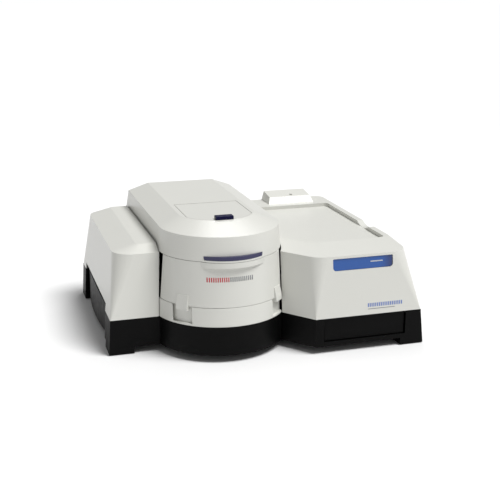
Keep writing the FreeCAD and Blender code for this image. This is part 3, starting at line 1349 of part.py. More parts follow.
def build_inlet():
    """Mains inlet and data socket."""
    shell = box("InletShell", ("inlet_x - 13.7", "rear_panel_y - 18", "service_z - 10.7"),
                ("27.4", "22", "21.4"))
    flange = box("InletFlange", ("inlet_x - 17", "rear_panel_y + rear_panel_thick", "service_z - 14"),
                 ("34", "2", "28"))
    well = box("InletWell", ("inlet_x - 12", "rear_panel_y - 12", "service_z - 8"), ("24", "20", "16"))
    keep(cut("MainsInlet", fuse("InletBody", [shell, flange]), [well]), "mains_inlet")
    blades = [box("Blade%d" % i, ("inlet_x - 1 + %d" % x, "rear_panel_y - 12",
                                  "service_z + %d - 2.5" % z), ("2", "11", "5"))
              for i, (x, z) in enumerate([(-7, -1), (0, 3), (7, -1)])]
    keep(group("InletBlades", blades), "inlet_blades")
    body = box("SocketBody", ("socket_x - 6.7", "rear_panel_y - 12", "service_z - 6.7"),
               ("13.4", "15", "13.4"))
    well_b = box("SocketWell", ("socket_x - 4.3", "rear_panel_y - 8", "service_z - 4"), ("8.6", "16", "8"))
    keep(cut("DataSocket", body, [well_b]), "data_socket")


def build_switch():
    """Mains switch: frame and rocker."""
    shell = box("SwitchShell", ("switch_x - 9.7", "rear_panel_y - 14", "service_z - 12.7"),
                ("19.4", "16", "25.4"))
    flange = box("SwitchFlange", ("switch_x - 12.5", "rear_panel_y + rear_panel_thick",
                                  "service_z - 15.5"), ("25", "1.6", "31"))
    well = box("SwitchWell", ("switch_x - 7.5", "rear_panel_y - 9.6", "service_z - rocker_radius - 0.6"),
               ("15", "20", "2 * rocker_radius + 1.2"))
    keep(cut("SwitchFrame", fuse("SwitchBody", [shell, flange]), [well]), "switch_frame")
    barrel = rod_x("RockerBarrel", ("switch_x - 7.2", "rear_panel_y + 1", "service_z"), "rocker_radius",
                   "14.4")
    dish = rod_x("RockerDish", ("switch_x - 8", "rear_panel_y + 17.5", "service_z + 4"), "rocker_radius",
                 "16")
    keep(cut("Rocker", barrel, [dish]), "power_rocker")


def build_fan():
    """Fan frame, rotor and rear guard."""
    half = "fan_size / 2"
    body = box("FanBlock", ("fan_x - " + half, "rear_panel_y - fan_thick", "fan_z - " + half),
               ("fan_size", "fan_thick", "fan_size"))
    bore = rod_y("FanBore", ("fan_x", "rear_panel_y - fan_thick - 1", "fan_z"), "fan_radius + 1.5",
                 "fan_thick + 2")
    cup = rod_y("FanCup", ("fan_x", "rear_panel_y - fan_thick", "fan_z"), "hub_radius", "5")
    arms = [box("FanArmA", ("fan_x - fan_radius - 2", "rear_panel_y - fan_thick", "fan_z - 2"),
                ("2 * fan_radius + 4", "4", "4")),
            box("FanArmB", ("fan_x - 2", "rear_panel_y - fan_thick", "fan_z - fan_radius - 2"),
                ("4", "4", "2 * fan_radius + 4"))]
    frame = cut("FanShell", body, [bore])
    pin_bore = rod_y("FanPinBore", ("fan_x", "rear_panel_y - fan_thick + 1", "fan_z"),
                     "shaft_radius + pin_fit", "10")
    keep(cut("FanFrame", fuse("FanFrameBody", [frame, cup] + arms), [pin_bore]), "fan_frame")
    hub = rod_y("FanHub", ("fan_x", "rear_panel_y - fan_thick + 6", "fan_z"), "hub_radius", "fan_thick - 9")
    shaft = rod_y("FanShaft", ("fan_x", "rear_panel_y - fan_thick + 1.5", "fan_z"), "shaft_radius", "8")
    pieces = [hub, shaft]
    for i in range(7):
        blade = document.addObject("Part::Box", "Blade_%d" % i)
        blade.setExpression("Length", bound("fan_radius - hub_radius + 1"))
        blade.setExpression("Width", bound("1.6"))
        blade.setExpression("Height", bound("fan_thick - 11"))
        spin = Rotation(Y_AXIS, 360.0 / 7 * i)
        start = spin.multVec(Vector(s.hub_radius - 1, 0, 0))
        pitch = spin * Rotation(X_AXIS, -55)
        blade.Placement = Placement(start, pitch)
        for letter, middle, offset in zip("xyz", ("fan_x", "rear_panel_y - fan_thick + 8", "fan_z"), start):
            blade.setExpression("Placement.Base." + letter, bound("%s + %.6f" % (middle, offset)))
        pieces.append(blade)
    keep(fuse("FanRotor", pieces), "fan_rotor")
    rings = []
    guard_y = "rear_panel_y + rear_panel_thick"
    for i, radius in enumerate((12, 24, 36)):
        outer = rod_y("GuardOuter%d" % i, ("fan_x", guard_y, "fan_z"), "%d" % radius, "1.6")
        inner = rod_y("GuardInner%d" % i, ("fan_x", guard_y + " - 1", "fan_z"), "%d - 1.6" % radius, "4")
        rings.append(cut("GuardRing%d" % i, outer, [inner]))
    rings.append(box("GuardBarA", ("fan_x - 40", guard_y, "fan_z - 0.8"), ("80", "1.6", "1.6")))
    rings.append(box("GuardBarB", ("fan_x - 0.8", guard_y, "fan_z - 40"), ("1.6", "1.6", "80")))
    keep(fuse("FanGuard", rings), "fan_guard")


def check_and_write():
    """Recompute, refuse any failed object, and write one STEP file for each sub-part."""
    document.recompute()
    for obj in document.Objects:
        if "Invalid" in obj.State or "Error" in obj.State:
            raise RuntimeError("%s failed: %s" % (obj.Name, obj.State))
    for obj in nodes:
        if obj.Shape.isNull() or not obj.Shape.isValid() or not obj.Shape.Solids:
            raise RuntimeError("%s has no valid solid" % obj.Label)
    os.makedirs("parts", exist_ok=True)
    for obj in nodes:
        obj.Shape.exportStep("parts/%s.step" % obj.Label)
    print("%d sub-parts written" % len(nodes))


def main():
    """Build every sub-part and write them."""
    build_base()
    build_feet()
    build_left_cover()
    build_right_cover()
    build_window()
    build_ring()
    build_front_panel()
    build_lid()
    build_strip()
    build_hatch()
    build_hinges()
    build_deck()
    build_liner()
    build_windows()
    build_holder("SampleHolder", "sample_holder", "sample_y")
    build_holder("ReferenceHolder", "reference_holder", "reference_y")
    build_plates()
    build_monochromator()
    build_slits()
    build_mirrors()
    build_lenses()
    build_grating()
    build_filter_wheel()
    build_lamp()
    build_detectors()
    build_electronics()
    build_drawer()
    build_rear_panel()
    build_inlet()
    build_switch()
    build_fan()
    check_and_write()


main()
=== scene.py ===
"""Looks of a benchtop double-beam spectrophotometer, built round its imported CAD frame.

The casing, drum, lid, base and drawer are rounded copies of their CAD nodes, because moulded plastic has no
sharp edges. Everything inside keeps its CAD shape and gets a finish. All sizes are millimetres unless a name
says otherwise; MM turns them to the scene's metres.
"""

import sys

import json
import logging
import math
from dataclasses import dataclass, field
from enum import Enum

import bmesh
import bpy
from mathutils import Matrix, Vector

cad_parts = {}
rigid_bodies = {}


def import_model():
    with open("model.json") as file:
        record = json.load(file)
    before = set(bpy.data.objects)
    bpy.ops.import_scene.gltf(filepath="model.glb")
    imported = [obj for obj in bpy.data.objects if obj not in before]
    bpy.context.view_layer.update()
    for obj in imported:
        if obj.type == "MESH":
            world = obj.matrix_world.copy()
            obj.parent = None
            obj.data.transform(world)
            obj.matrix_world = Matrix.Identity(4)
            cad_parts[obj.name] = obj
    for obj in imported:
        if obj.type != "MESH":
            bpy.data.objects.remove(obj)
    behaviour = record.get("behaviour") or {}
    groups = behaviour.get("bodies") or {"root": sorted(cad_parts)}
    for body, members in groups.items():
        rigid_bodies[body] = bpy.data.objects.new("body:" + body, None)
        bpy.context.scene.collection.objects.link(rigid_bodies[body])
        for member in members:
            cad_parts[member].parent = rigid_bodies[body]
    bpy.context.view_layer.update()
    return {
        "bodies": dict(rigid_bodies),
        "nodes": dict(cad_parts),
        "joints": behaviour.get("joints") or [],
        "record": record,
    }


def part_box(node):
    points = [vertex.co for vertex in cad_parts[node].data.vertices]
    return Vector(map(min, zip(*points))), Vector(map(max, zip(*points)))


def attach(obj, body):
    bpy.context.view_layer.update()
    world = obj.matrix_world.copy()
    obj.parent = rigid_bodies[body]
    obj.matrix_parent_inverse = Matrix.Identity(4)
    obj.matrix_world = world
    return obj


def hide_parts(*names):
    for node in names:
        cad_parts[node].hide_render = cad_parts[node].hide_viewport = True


LOG = logging.getLogger("spectrophotometer")
MM = 0.001

# Mesh work: a gap in millimetres, angles in degrees, and the Y of a normal that still looks forwards.
MERGE_GAP = 0.002
FLAT_TURN = 0.15
SMOOTH_TURN = 32.0
FLAT_WEIGHT = 60
FORWARDS = -0.6


class Slot(Enum):
    """The record's material slots."""

    WHITE = "white_casing"
    BLACK = "black_base"
    NAVY = "navy_grip"
    WINDOW = "blue_window"
    FITTINGS = "black_fittings"
    PANEL = "grey_panel"
    ALUMINIUM = "aluminium_plate"
    ANODISED = "black_anodised"
    STEEL = "steel_parts"
    MIRROR = "mirror_coating"
    GLASS = "optical_glass"
    BOARD = "circuit_board"
    CERAMIC = "ceramic_socket"
    RUBBER = "rubber_pad"


def linear(colour: str) -> tuple[float, float, float, float]:
    """Turn an sRGB hex colour to linear.

    Args:
        colour: Six hex digits after a hash.

    Returns:
        Linear red, green and blue, and full alpha.
    """
    parts = [int(colour[i : i + 2], 16) / 255 for i in (1, 3, 5)]
    low, slope, offset, power = 0.04045, 12.92, 0.055, 2.4
    turned = [c / slope if c <= low else ((c + offset) / (1 + offset)) ** power for c in parts]
    return (turned[0], turned[1], turned[2], 1.0)


def per_mm(size: float) -> float:
    """Texture scale that gives a pattern of a size in millimetres."""
    return 1.0 / (size * MM)


def add_node(tree: bpy.types.NodeTree, kind: str, settings: dict | None = None,
             links: dict | None = None) -> bpy.types.Node:
    """Add a node with its settings and links.

    Args:
        tree: The node tree of a material or world.
        kind: The node's class name.
        settings: Values for inputs, by name or index, or for the node's own properties.
        links: Output sockets to join to inputs, by the inputs' names or indexes.

    Returns:
        The new node.
    """
    node = tree.nodes.new(kind)
    for key, value in (settings or {}).items():
        if isinstance(key, int) or key in node.inputs:
            node.inputs[key].default_value = value
        else:
            setattr(node, key, value)
    for key, socket in (links or {}).items():
        tree.links.new(socket, node.inputs[key])
    return node


@dataclass(frozen=True)
class Finish:
    """What every finish shares: a name, and one material made the first time that it is asked for."""

    name: str

    def material(self) -> bpy.types.Material:
        """Return the finish's material, making it if it isn't there."""
        found = bpy.data.materials.get(self.name)
        if found is not None:
            return found
        made = bpy.data.materials.new(self.name)
        made.use_nodes = True
        tree = made.node_tree
        tree.nodes.clear()
        shader = add_node(tree, "ShaderNodeBsdfPrincipled")
        add_node(tree, "ShaderNodeOutputMaterial", links={"Surface": shader.outputs["BSDF"]})
        coords = add_node(tree, "ShaderNodeTexCoord").outputs["Object"]
        self.paint(tree, shader, coords)
        return made

    def paint(self, tree: bpy.types.NodeTree, shader: bpy.types.Node, coords: bpy.types.NodeSocket) -> None:
        """Join the finish's own nodes to the shader."""

    def two_tone(self, tree: bpy.types.NodeTree, factor: bpy.types.NodeSocket, one: str,
                 other: str) -> bpy.types.NodeSocket:
        """Mix two colours by a pattern.

        Args:
            tree: The material's node tree.
            factor: The pattern, from 0 to 1.
            one: Hex colour where the pattern is 0.
            other: Hex colour where the pattern is 1.

        Returns:
            The colour socket.
        """
        mix = add_node(tree, "ShaderNodeMix", {"data_type": "RGBA"})
        mix.inputs[6].default_value = linear(one)
        mix.inputs[7].default_value = linear(other)
        tree.links.new(factor, mix.inputs[0])
        return mix.outputs[2]


@dataclass(frozen=True)
class MouldedPlastic(Finish):
    """Injection-moulded plastic: cloudy tint, satin gloss and, where it has a height, a fine grain."""

    colour: str
    shade: str
    roughness: float
    grain: float = 1.1
    grain_height: float = 0.012
    grain_strength: float = 0.35
    mottle: float = 70.0
    wipes_per_mottle: float = 6.0
    ior: float = 1.53
    gloss: float = 0.5
    wear: float = 0.05

    def paint(self, tree: bpy.types.NodeTree, shader: bpy.types.Node, coords: bpy.types.NodeSocket) -> None:
        """Cloudy base colour, wiped-satin roughness and the mould's grain."""
        mottle = add_node(tree, "ShaderNodeTexNoise", {"Scale": per_mm(self.mottle), "Detail": 4.0},
                          {"Vector": coords})
        tint = self.two_tone(tree, mottle.outputs["Fac"], self.colour, self.shade)
        tree.links.new(tint, shader.inputs["Base Color"])
        wipe = add_node(tree, "ShaderNodeTexNoise",
                        {"Scale": per_mm(self.mottle / self.wipes_per_mottle), "Detail": 3.0},
                        {"Vector": coords})
        rough = add_node(tree, "ShaderNodeMapRange",
                         {"From Min": 0.3, "From Max": 0.7, "To Min": self.roughness - self.wear,
                          "To Max": self.roughness + self.wear}, {"Value": wipe.outputs["Fac"]})
        tree.links.new(rough.outputs["Result"], shader.inputs["Roughness"])
        shader.inputs["IOR"].default_value = self.ior
        shader.inputs["Specular IOR Level"].default_value = self.gloss
        if not self.grain_height:
            return
        grain = add_node(tree, "ShaderNodeTexNoise", {"Scale": per_mm(self.grain), "Detail": 2.0},
                         {"Vector": coords})
        bump = add_node(tree, "ShaderNodeBump",
                        {"Strength": self.grain_strength, "Distance": self.grain_height * MM},
                        {"Height": grain.outputs["Fac"]})
        tree.links.new(bump.outputs["Normal"], shader.inputs["Normal"])


@dataclass(frozen=True)
class BrushedMetal(Finish):
    """Rolled or brushed metal: fine lines along one axis that stretch the highlights."""

    colour: str
    shade: str
    roughness: float
    line: float = 0.8
    length: float = 40.0
    smoother: float = 0.08
    rougher: float = 0.12
    line_height: float = 0.01

    def paint(self, tree: bpy.types.NodeTree, shader: bpy.types.Node, coords: bpy.types.NodeSocket) -> None:
        """Lines along X, drawn a little coarser than real so that they show."""
        along = add_node(tree, "ShaderNodeMapping",
                         {"Scale": (per_mm(self.length), per_mm(self.line), per_mm(self.line))},
                         {"Vector": coords})
        lines = add_node(tree, "ShaderNodeTexNoise", {"Scale": 1.0, "Detail": 5.0},
                         {"Vector": along.outputs["Vector"]})
        tint = self.two_tone(tree, lines.outputs["Fac"], self.colour, self.shade)
        tree.links.new(tint, shader.inputs["Base Color"])
        rough = add_node(tree, "ShaderNodeMapRange",
                         {"To Min": self.roughness - self.smoother, "To Max": self.roughness + self.rougher},
                         {"Value": lines.outputs["Fac"]})
        tree.links.new(rough.outputs["Result"], shader.inputs["Roughness"])
        bump = add_node(tree, "ShaderNodeBump", {"Strength": 0.25, "Distance": self.line_height * MM},
                        {"Height": lines.outputs["Fac"]})
        tree.links.new(bump.outputs["Normal"], shader.inputs["Normal"])
        shader.inputs["Metallic"].default_value = 1.0


@dataclass(frozen=True)
class Acrylic(Finish):
    """Tinted polished acrylic pane, with painted shade towards its far end, where nothing lights it from
    behind.
    """

    colour: str
    # The second colour is painted shade: a deeper blue over the pane's far end, faded in between the next two X
    # positions, in millimetres.
    painted_shade: str
    painted_shade_from: float
    painted_shade_to: float
    rub: float = 6.0
    ior: float = 1.49
    polish: float = 0.5

    def paint(self, tree: bpy.types.NodeTree, shader: bpy.types.Node, coords: bpy.types.NodeSocket) -> None:
        """A tint with painted shade that deepens along X, under a clear polish with faint rubbing marks."""
        axes = add_node(tree, "ShaderNodeSeparateXYZ", links={"Vector": coords})
        fade = add_node(tree, "ShaderNodeMapRange",
                        {"From Min": self.painted_shade_from * MM, "From Max": self.painted_shade_to * MM, "clamp": True,
                         "interpolation_type": "SMOOTHSTEP"}, {"Value": axes.outputs["X"]})
        # Painted shade: the pane's blue deepens towards its right end.
        tint = self.two_tone(tree, fade.outputs["Result"], self.colour, self.painted_shade)
        tree.links.new(tint, shader.inputs["Base Color"])
        rub = add_node(tree, "ShaderNodeTexNoise", {"Scale": per_mm(self.rub), "Detail": 3.0},
                       {"Vector": coords})
        rough = add_node(tree, "ShaderNodeMapRange", {"To Min": 0.16, "To Max": 0.3},
                         {"Value": rub.outputs["Fac"]})
        tree.links.new(rough.outputs["Result"], shader.inputs["Roughness"])
        shader.inputs["IOR"].default_value = self.ior
        shader.inputs["Coat Weight"].default_value = self.polish


@dataclass(frozen=True)
class PrintedInk(Finish):
    """Pad-printed ink: matt, a little uneven in its thickness."""

    colour: str
    shade: str
    speck: float = 1.5
    roughness: float = 0.6

    def paint(self, tree: bpy.types.NodeTree, shader: bpy.types.Node, coords: bpy.types.NodeSocket) -> None:
        """A speckled tint and a matt surface."""
        speck = add_node(tree, "ShaderNodeTexNoise", {"Scale": per_mm(self.speck), "Detail": 2.0},
                         {"Vector": coords})
        tint = self.two_tone(tree, speck.outputs["Fac"], self.colour, self.shade)
        tree.links.new(tint, shader.inputs["Base Color"])
        shader.inputs["Roughness"].default_value = self.roughness


@dataclass(frozen=True)
class SolderMask(Finish):
    """Circuit board: green solder mask over copper tracks, which show as paler lines."""

    colour: str
    track: str
    pitch: float
    copper: float = 0.035
    roughness: float = 0.3

    def paint(self, tree: bpy.types.NodeTree, shader: bpy.types.Node, coords: bpy.types.NodeSocket) -> None:
        """Tracks at the board's wiring pitch, raised by the copper under the mask."""
        cells = add_node(tree, "ShaderNodeTexVoronoi",
                         {"feature": "DISTANCE_TO_EDGE", "Scale": per_mm(self.pitch)}, {"Vector": coords})
        track = add_node(tree, "ShaderNodeMapRange", {"From Min": 0.04, "From Max": 0.07, "clamp": True},
                         {"Value": cells.outputs["Distance"]})
        tint = self.two_tone(tree, track.outputs["Result"], self.track, self.colour)
        tree.links.new(tint, shader.inputs["Base Color"])
        bump = add_node(tree, "ShaderNodeBump", {"Strength": 0.5, "Distance": self.copper * MM, "invert": True},
                        {"Height": track.outputs["Result"]})
        tree.links.new(bump.outputs["Normal"], shader.inputs["Normal"])
        shader.inputs["Roughness"].default_value = self.roughness


@dataclass(frozen=True)
class Glass(Finish):
    """Polished quartz or filter glass, clear apart from faint cleaning marks."""

    colour: str
    ior: float = 1.46
    haze: float = 4.0

    def paint(self, tree: bpy.types.NodeTree, shader: bpy.types.Node, coords: bpy.types.NodeSocket) -> None:
        """Clear glass whose polish varies a little."""
        haze = add_node(tree, "ShaderNodeTexNoise", {"Scale": per_mm(self.haze), "Detail": 3.0},
                        {"Vector": coords})
        rough = add_node(tree, "ShaderNodeMapRange", {"To Min": 0.0, "To Max": 0.06},
                         {"Value": haze.outputs["Fac"]})
        tree.links.new(rough.outputs["Result"], shader.inputs["Roughness"])
        shader.inputs["Base Color"].default_value = linear(self.colour)
        shader.inputs["IOR"].default_value = self.ior
        shader.inputs["Transmission Weight"].default_value = 1.0


WHITE_ABS = MouldedPlastic("white_abs_moulded", "#D2D2CC", "#D0D0CA", 0.3, grain_height=0.0, wear=0.008)
TABLE_WHITE = MouldedPlastic("table_white_matt", "#EEEEEE", "#ECECEC", 0.9, grain_height=0.0, gloss=0.0)
BLACK_ABS = MouldedPlastic("black_abs_matt", "#080808", "#050505", 0.45, grain=1.4, grain_height=0.02,
                           gloss=0.08)
NAVY_ABS = MouldedPlastic("navy_abs_satin", "#2F2E57", "#28274C", 0.36)
NAVY_DARK = MouldedPlastic("navy_pull_satin", "#0E0E3C", "#0A0A30", 0.34, gloss=0.1)
BLACK_NYLON = MouldedPlastic("black_nylon_fittings", "#1B1B1C", "#141415", 0.45, grain=0.9)
RUBBER = MouldedPlastic("rubber_moulded", "#202020", "#161616", 0.82, grain=0.7, grain_height=0.03)
CERAMIC = MouldedPlastic("ceramic_glazed", "#E9E4DA", "#DED8CB", 0.3, grain=2.0, ior=1.6)
PANEL_PAINT = MouldedPlastic("powder_coat_grey", "#B9B9B4", "#AFAFA9", 0.55, grain=1.6, grain_height=0.04)
BLACK_ANODISED = BrushedMetal("aluminium_black_anodised", "#1D1D1F", "#131315", 0.5)
ALUMINIUM = BrushedMetal("aluminium_milled", "#C9CBCC", "#B4B6B8", 0.34)
STEEL = BrushedMetal("steel_zinc_plated", "#B7B9BA", "#9C9EA0", 0.28, line=0.5)
MIRROR = BrushedMetal("mirror_aluminised", "#E4E7EA", "#DFE3E7", 0.1, line=8.0, length=8.0)
QUARTZ = Glass("quartz_polished", "#F7FAFB")
FILTER_GLASS = Glass("filter_glass_amber", "#E7B45C", 1.52)
BOARD = SolderMask("solder_mask_green", "#1E5B38", "#4C8A5A", 5.0)
RED_INK = PrintedInk("ink_red", "#C8283A", "#B92234")
GREY_INK = PrintedInk("ink_grey", "#7C7E82", "#74767A")
BLUE_INK = PrintedInk("ink_blue", "#3A63B4", "#345BA8")
PALE_INK = PrintedInk("ink_pale", "#B9BCC0", "#AEB1B6")


@dataclass(frozen=True)
class EdgeRound:
    """Outer edges to round: those that turn by an angle within limits, between two heights."""

    width: float
    sharp_from: float = 60.0
    sharp_to: float = 180.0
    low: float = -1.0
    high: float = 1000.0
    segments: int = 3

    def fits(self, edge: bmesh.types.BMEdge) -> bool:
        """Whether an edge is an outer one of this kind."""
        if len(edge.link_faces) != 2 or not edge.is_convex:
            return False
        heights = [v.co.z / MM for v in edge.verts]
        if min(heights) < self.low or max(heights) > self.high:
            return False
        return self.sharp_from <= math.degrees(edge.calc_face_angle(0.0)) <= self.sharp_to


RIDGES = EdgeRound(5.0, 8.0, 75.0, segments=4)
SOFT = EdgeRound(1.0)
CRISP = EdgeRound(0.8)
FINE = EdgeRound(0.4)


def choose(piece: bpy.types.Object) -> None:
    """Deselect everything, then select one object and make it the active one."""
    if bpy.context.object is not None and bpy.context.object.mode != "OBJECT":
        bpy.ops.object.mode_set(mode="OBJECT")
    bpy.ops.object.select_all(action="DESELECT")
    piece.select_set(True)
    bpy.context.view_layer.objects.active = piece


def dress(piece: bpy.types.Object, finish: Finish) -> None:
    """Give a piece one finish all over."""
    piece.data.materials.clear()
    piece.data.materials.append(finish.material())


def apply_modifier(piece: bpy.types.Object, name: str, kind: str, settings: dict) -> None:
    """Add a modifier with its settings, and apply it.

    Args:
        piece: The piece, which becomes the active object.
        name: The modifier's name.
        kind: The modifier's type.
        settings: Its properties.
    """
    choose(piece)
    modifier = piece.modifiers.new(name, kind)
    for key, value in settings.items():
        setattr(modifier, key, value)
    bpy.ops.object.modifier_apply(modifier=name)


def merged_copy(source: bpy.types.Object, name: str) -> bpy.types.Object:
    """Copy a CAD node's mesh to a new object and join its loose triangles.

    Args:
        source: The CAD node's object.
        name: The new piece's name.

    Returns:
        The new piece, in object mode, with flat stretches as few convex faces.
    """
    piece = bpy.data.objects.new(name, source.data.copy())
    bpy.context.scene.collection.objects.link(piece)
    choose(piece)
    bpy.ops.mesh.customdata_custom_splitnormals_clear()
    bpy.ops.object.mode_set(mode="EDIT")
    bpy.context.tool_settings.mesh_select_mode = (False, True, False)
    bpy.ops.mesh.select_all(action="SELECT")
    bpy.ops.mesh.remove_doubles(threshold=MERGE_GAP * MM)
    bpy.ops.mesh.dissolve_limited(angle_limit=math.radians(FLAT_TURN))
    bpy.ops.mesh.select_all(action="SELECT")
    bpy.ops.mesh.vert_connect_concave()
    bpy.ops.mesh.mark_sharp(clear=True)
    bpy.ops.object.mode_set(mode="OBJECT")
    return piece


def round_edges(piece: bpy.types.Object, rounds: tuple[EdgeRound, ...]) -> None:
    """Bevel a piece's outer edges, widest first, and smooth its shading.

    Args:
        piece: A merged mesh.
        rounds: What to round, in order.
    """
    choose(piece)
    bpy.ops.object.mode_set(mode="EDIT")
    for kind in rounds:
        bpy.ops.mesh.select_all(action="DESELECT")
        shape = bmesh.from_edit_mesh(piece.data)
        found = 0
        for edge in shape.edges:
            if kind.fits(edge):
                edge.select_set(True)
                found += 1
        bmesh.update_edit_mesh(piece.data)
        if found:
            bpy.ops.mesh.bevel(offset=kind.width * MM, offset_type="OFFSET", segments=kind.segments,
                               profile=0.5, affect="EDGES", clamp_overlap=True, miter_outer="ARC")
    bpy.ops.object.mode_set(mode="OBJECT")
    bpy.ops.object.shade_smooth_by_angle(angle=math.radians(SMOOTH_TURN))
    apply_modifier(piece, "Flats", "WEIGHTED_NORMAL", {"keep_sharp": True, "weight": FLAT_WEIGHT})


@dataclass
class SubAssembly:
    """What every sub-assembly shares: the CAD frame, and the pieces that it has made."""

    frame: dict
    pieces: list = field(default_factory=list)

    def body_of(self, node: str) -> str:
        """The CAD body that a node rides on."""
        for body, members in self.frame["record"]["behaviour"]["bodies"].items():
            if node in members:
                return body
        raise KeyError(node)

    def finish(self, finish: Finish, *nodes: str) -> None:
        """Keep CAD nodes as they are, with one finish."""
        for node in nodes:
            dress(self.frame["nodes"][node], finish)
            LOG.info("%s keeps its shape, finish %s", node, finish.name)

    def soften(self, node: str, finish: Finish, slot: Slot, *rounds: EdgeRound) -> bpy.types.Object:
        """Stand a rounded copy in for a CAD node.

        Args:
            node: The CAD node.
            finish: The copy's finish.
            slot: The record's slot that the finish belongs to; not used.
            *rounds: Edges to round.

        Returns:
            The new piece, riding on the node's body.
        """
        piece = merged_copy(self.frame["nodes"][node], node + "_soft")
        round_edges(piece, rounds)
        dress(piece, finish)
        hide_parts(node)
        return self.keep(piece, self.body_of(node), slot)

    def keep(self, piece: bpy.types.Object, body: str, slot: Slot) -> bpy.types.Object:
        """Ride a finished piece on its body and report it."""
        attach(piece, body)
        self.pieces.append(piece)
        LOG.info("%s: %d faces on %s", piece.name, len(piece.data.polygons), body)
        return piece

    def build(self) -> None:
        """Make and dress the sub-assembly."""


@dataclass
class PrintedScale:
    """A row of short printed strokes that lies on a piece's front, in place of any lettering."""

    left: float
    right: float
    low: float
    tall: float
    strokes: int
    thick: float = 0.15
    spare: float = 1.0

    def patch(self, skin: bpy.types.Object, x0: float, x1: float, z0: float, z1: float,
              name: str) -> bpy.types.Object:
        """Cut a piece of the front skin out between two pairs of planes.

        Args:
            skin: A merged copy of the piece that is printed on.
            x0: Left limit in millimetres.
            x1: Right limit.
            z0: Lower limit.
            z1: Upper limit.
            name: The new object's name.

        Returns:
            The patch, still without thickness.
        """
        piece = bpy.data.objects.new(name, skin.data.copy())
        bpy.context.scene.collection.objects.link(piece)
        choose(piece)
        bpy.ops.object.mode_set(mode="EDIT")
        cuts = [((x0, 0, 0), (-1, 0, 0)), ((x1, 0, 0), (1, 0, 0)),
                ((0, 0, z0), (0, 0, -1)), ((0, 0, z1), (0, 0, 1))]
        for at, normal in cuts:
            bpy.ops.mesh.select_all(action="SELECT")
            bpy.ops.mesh.bisect(plane_co=[c * MM for c in at], plane_no=normal, clear_outer=True)
        bpy.ops.object.mode_set(mode="OBJECT")
        return piece

    def front_skin(self, source: bpy.types.Object) -> bpy.types.Object:
        """The faces of a CAD node that look forwards at its outside, as a scratch object."""
        skin = merged_copy(source, "scratch_skin")
        choose(skin)
        bpy.ops.object.mode_set(mode="EDIT")
        bpy.context.tool_settings.mesh_select_mode = (False, False, True)
        bpy.ops.mesh.select_all(action="DESELECT")
        shape = bmesh.from_edit_mesh(skin.data)
        for face in shape.faces:
            face.select_set(face.normal.y > FORWARDS)
        bmesh.update_edit_mesh(skin.data)
        bpy.ops.mesh.delete(type="FACE")
        bpy.ops.object.mode_set(mode="OBJECT")
        return self.strip_of(skin)

    def strip_of(self, skin: bpy.types.Object) -> bpy.types.Object:
        """Cut the skin down to a little more than the printed area, and drop the first one."""
        strip = self.patch(skin, self.left - self.spare, self.right + self.spare, self.low - self.spare,
                           self.low + self.tall + self.spare, "scratch_strip")
        bpy.data.objects.remove(skin)
        return strip

    def print_on(self, source: bpy.types.Object, name: str, taken: range) -> bpy.types.Object:
        """Print some of the row's strokes.

        Args:
            source: The CAD node that is printed on.
            name: The new piece's name.
            taken: Which strokes, counted from the left.

        Returns:
            The printed strokes as one thin piece.
        """
        skin = self.front_skin(source)
        pitch = (self.right - self.left) / (2 * self.strokes - 1)
        made = []
        for i in taken:
            start = self.left + 2 * i * pitch
            made.append(self.patch(skin, start, start + pitch, self.low, self.low + self.tall,
                                   "%s_%d" % (name, i)))
        bpy.data.objects.remove(skin)
        choose(made[0])
        for piece in made:
            piece.select_set(True)
        if len(made) > 1:
            bpy.ops.object.join()
        piece = bpy.context.object
        piece.name = name
        apply_modifier(piece, "Ink", "SOLIDIFY", {"thickness": self.thick * MM, "offset": 1.0})
        return piece


@dataclass
class Base(SubAssembly):
    """Black base moulding, rubber feet, drawer and runners."""

    def build(self) -> None:
        """Round the black moulding and the drawer, and dress the feet and runners."""
        self.soften("base_moulding", BLACK_ABS, Slot.BLACK, CRISP)
        self.soften("drawer", BLACK_ABS, Slot.BLACK, FINE)
        self.soften("rubber_feet", RUBBER, Slot.RUBBER, FINE)
        self.finish(BLACK_NYLON, "drawer_runners")


@dataclass
class Covers(SubAssembly):
    """The two white covers, the cap, the status window and the printed scale on the right cover."""

    scale: PrintedScale = field(default_factory=lambda: PrintedScale(188.0, 262.0, 88.0, 7.5, 19))
    rule: PrintedScale = field(default_factory=lambda: PrintedScale(188.0, 246.0, 83.4, 1.2, 1))
    lit: PrintedScale = field(default_factory=lambda: PrintedScale(196.0, 222.0, 177.0, 2.2, 1))
    # Share of the window's width after which the pane's painted shade begins.
    painted_shade_after: float = 0.78

    def build(self) -> None:
        """Round the covers, fit the window and print the scale."""
        self.soften("left_cover", WHITE_ABS, Slot.WHITE, RIDGES, CRISP)
        self.soften("right_cover", WHITE_ABS, Slot.WHITE, RIDGES, CRISP)
        self.soften("screw_cap", WHITE_ABS, Slot.WHITE, FINE)
        low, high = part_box("status_window")
        # The pane's painted shade fades in from this X to its right end; #142E68 is the painted shade's blue.
        painted_shade_from = low.x / MM + self.painted_shade_after * (high.x - low.x) / MM
        pane = Acrylic("acrylic_blue_painted_shade", "#0E4C98", "#142E68", painted_shade_from, high.x / MM)
        self.soften("status_window", pane, Slot.WINDOW, FINE)
        self.finish(BOARD, "status_board")
        source = self.frame["nodes"]["right_cover"]
        body = self.body_of("right_cover")
        printed = [(self.scale, "scale_strokes_blue", BLUE_INK, range(self.scale.strokes)),
                   (self.rule, "scale_rule_grey", GREY_INK, range(1))]
        for row, name, ink, taken in printed:
            piece = row.print_on(source, name, taken)
            dress(piece, ink)
            self.keep(piece, body, Slot.WHITE)
        lit = self.lit.print_on(self.frame["nodes"]["status_window"], "window_light_bar", range(1))
        dress(lit, PALE_INK)
        self.keep(lit, body, Slot.WINDOW)


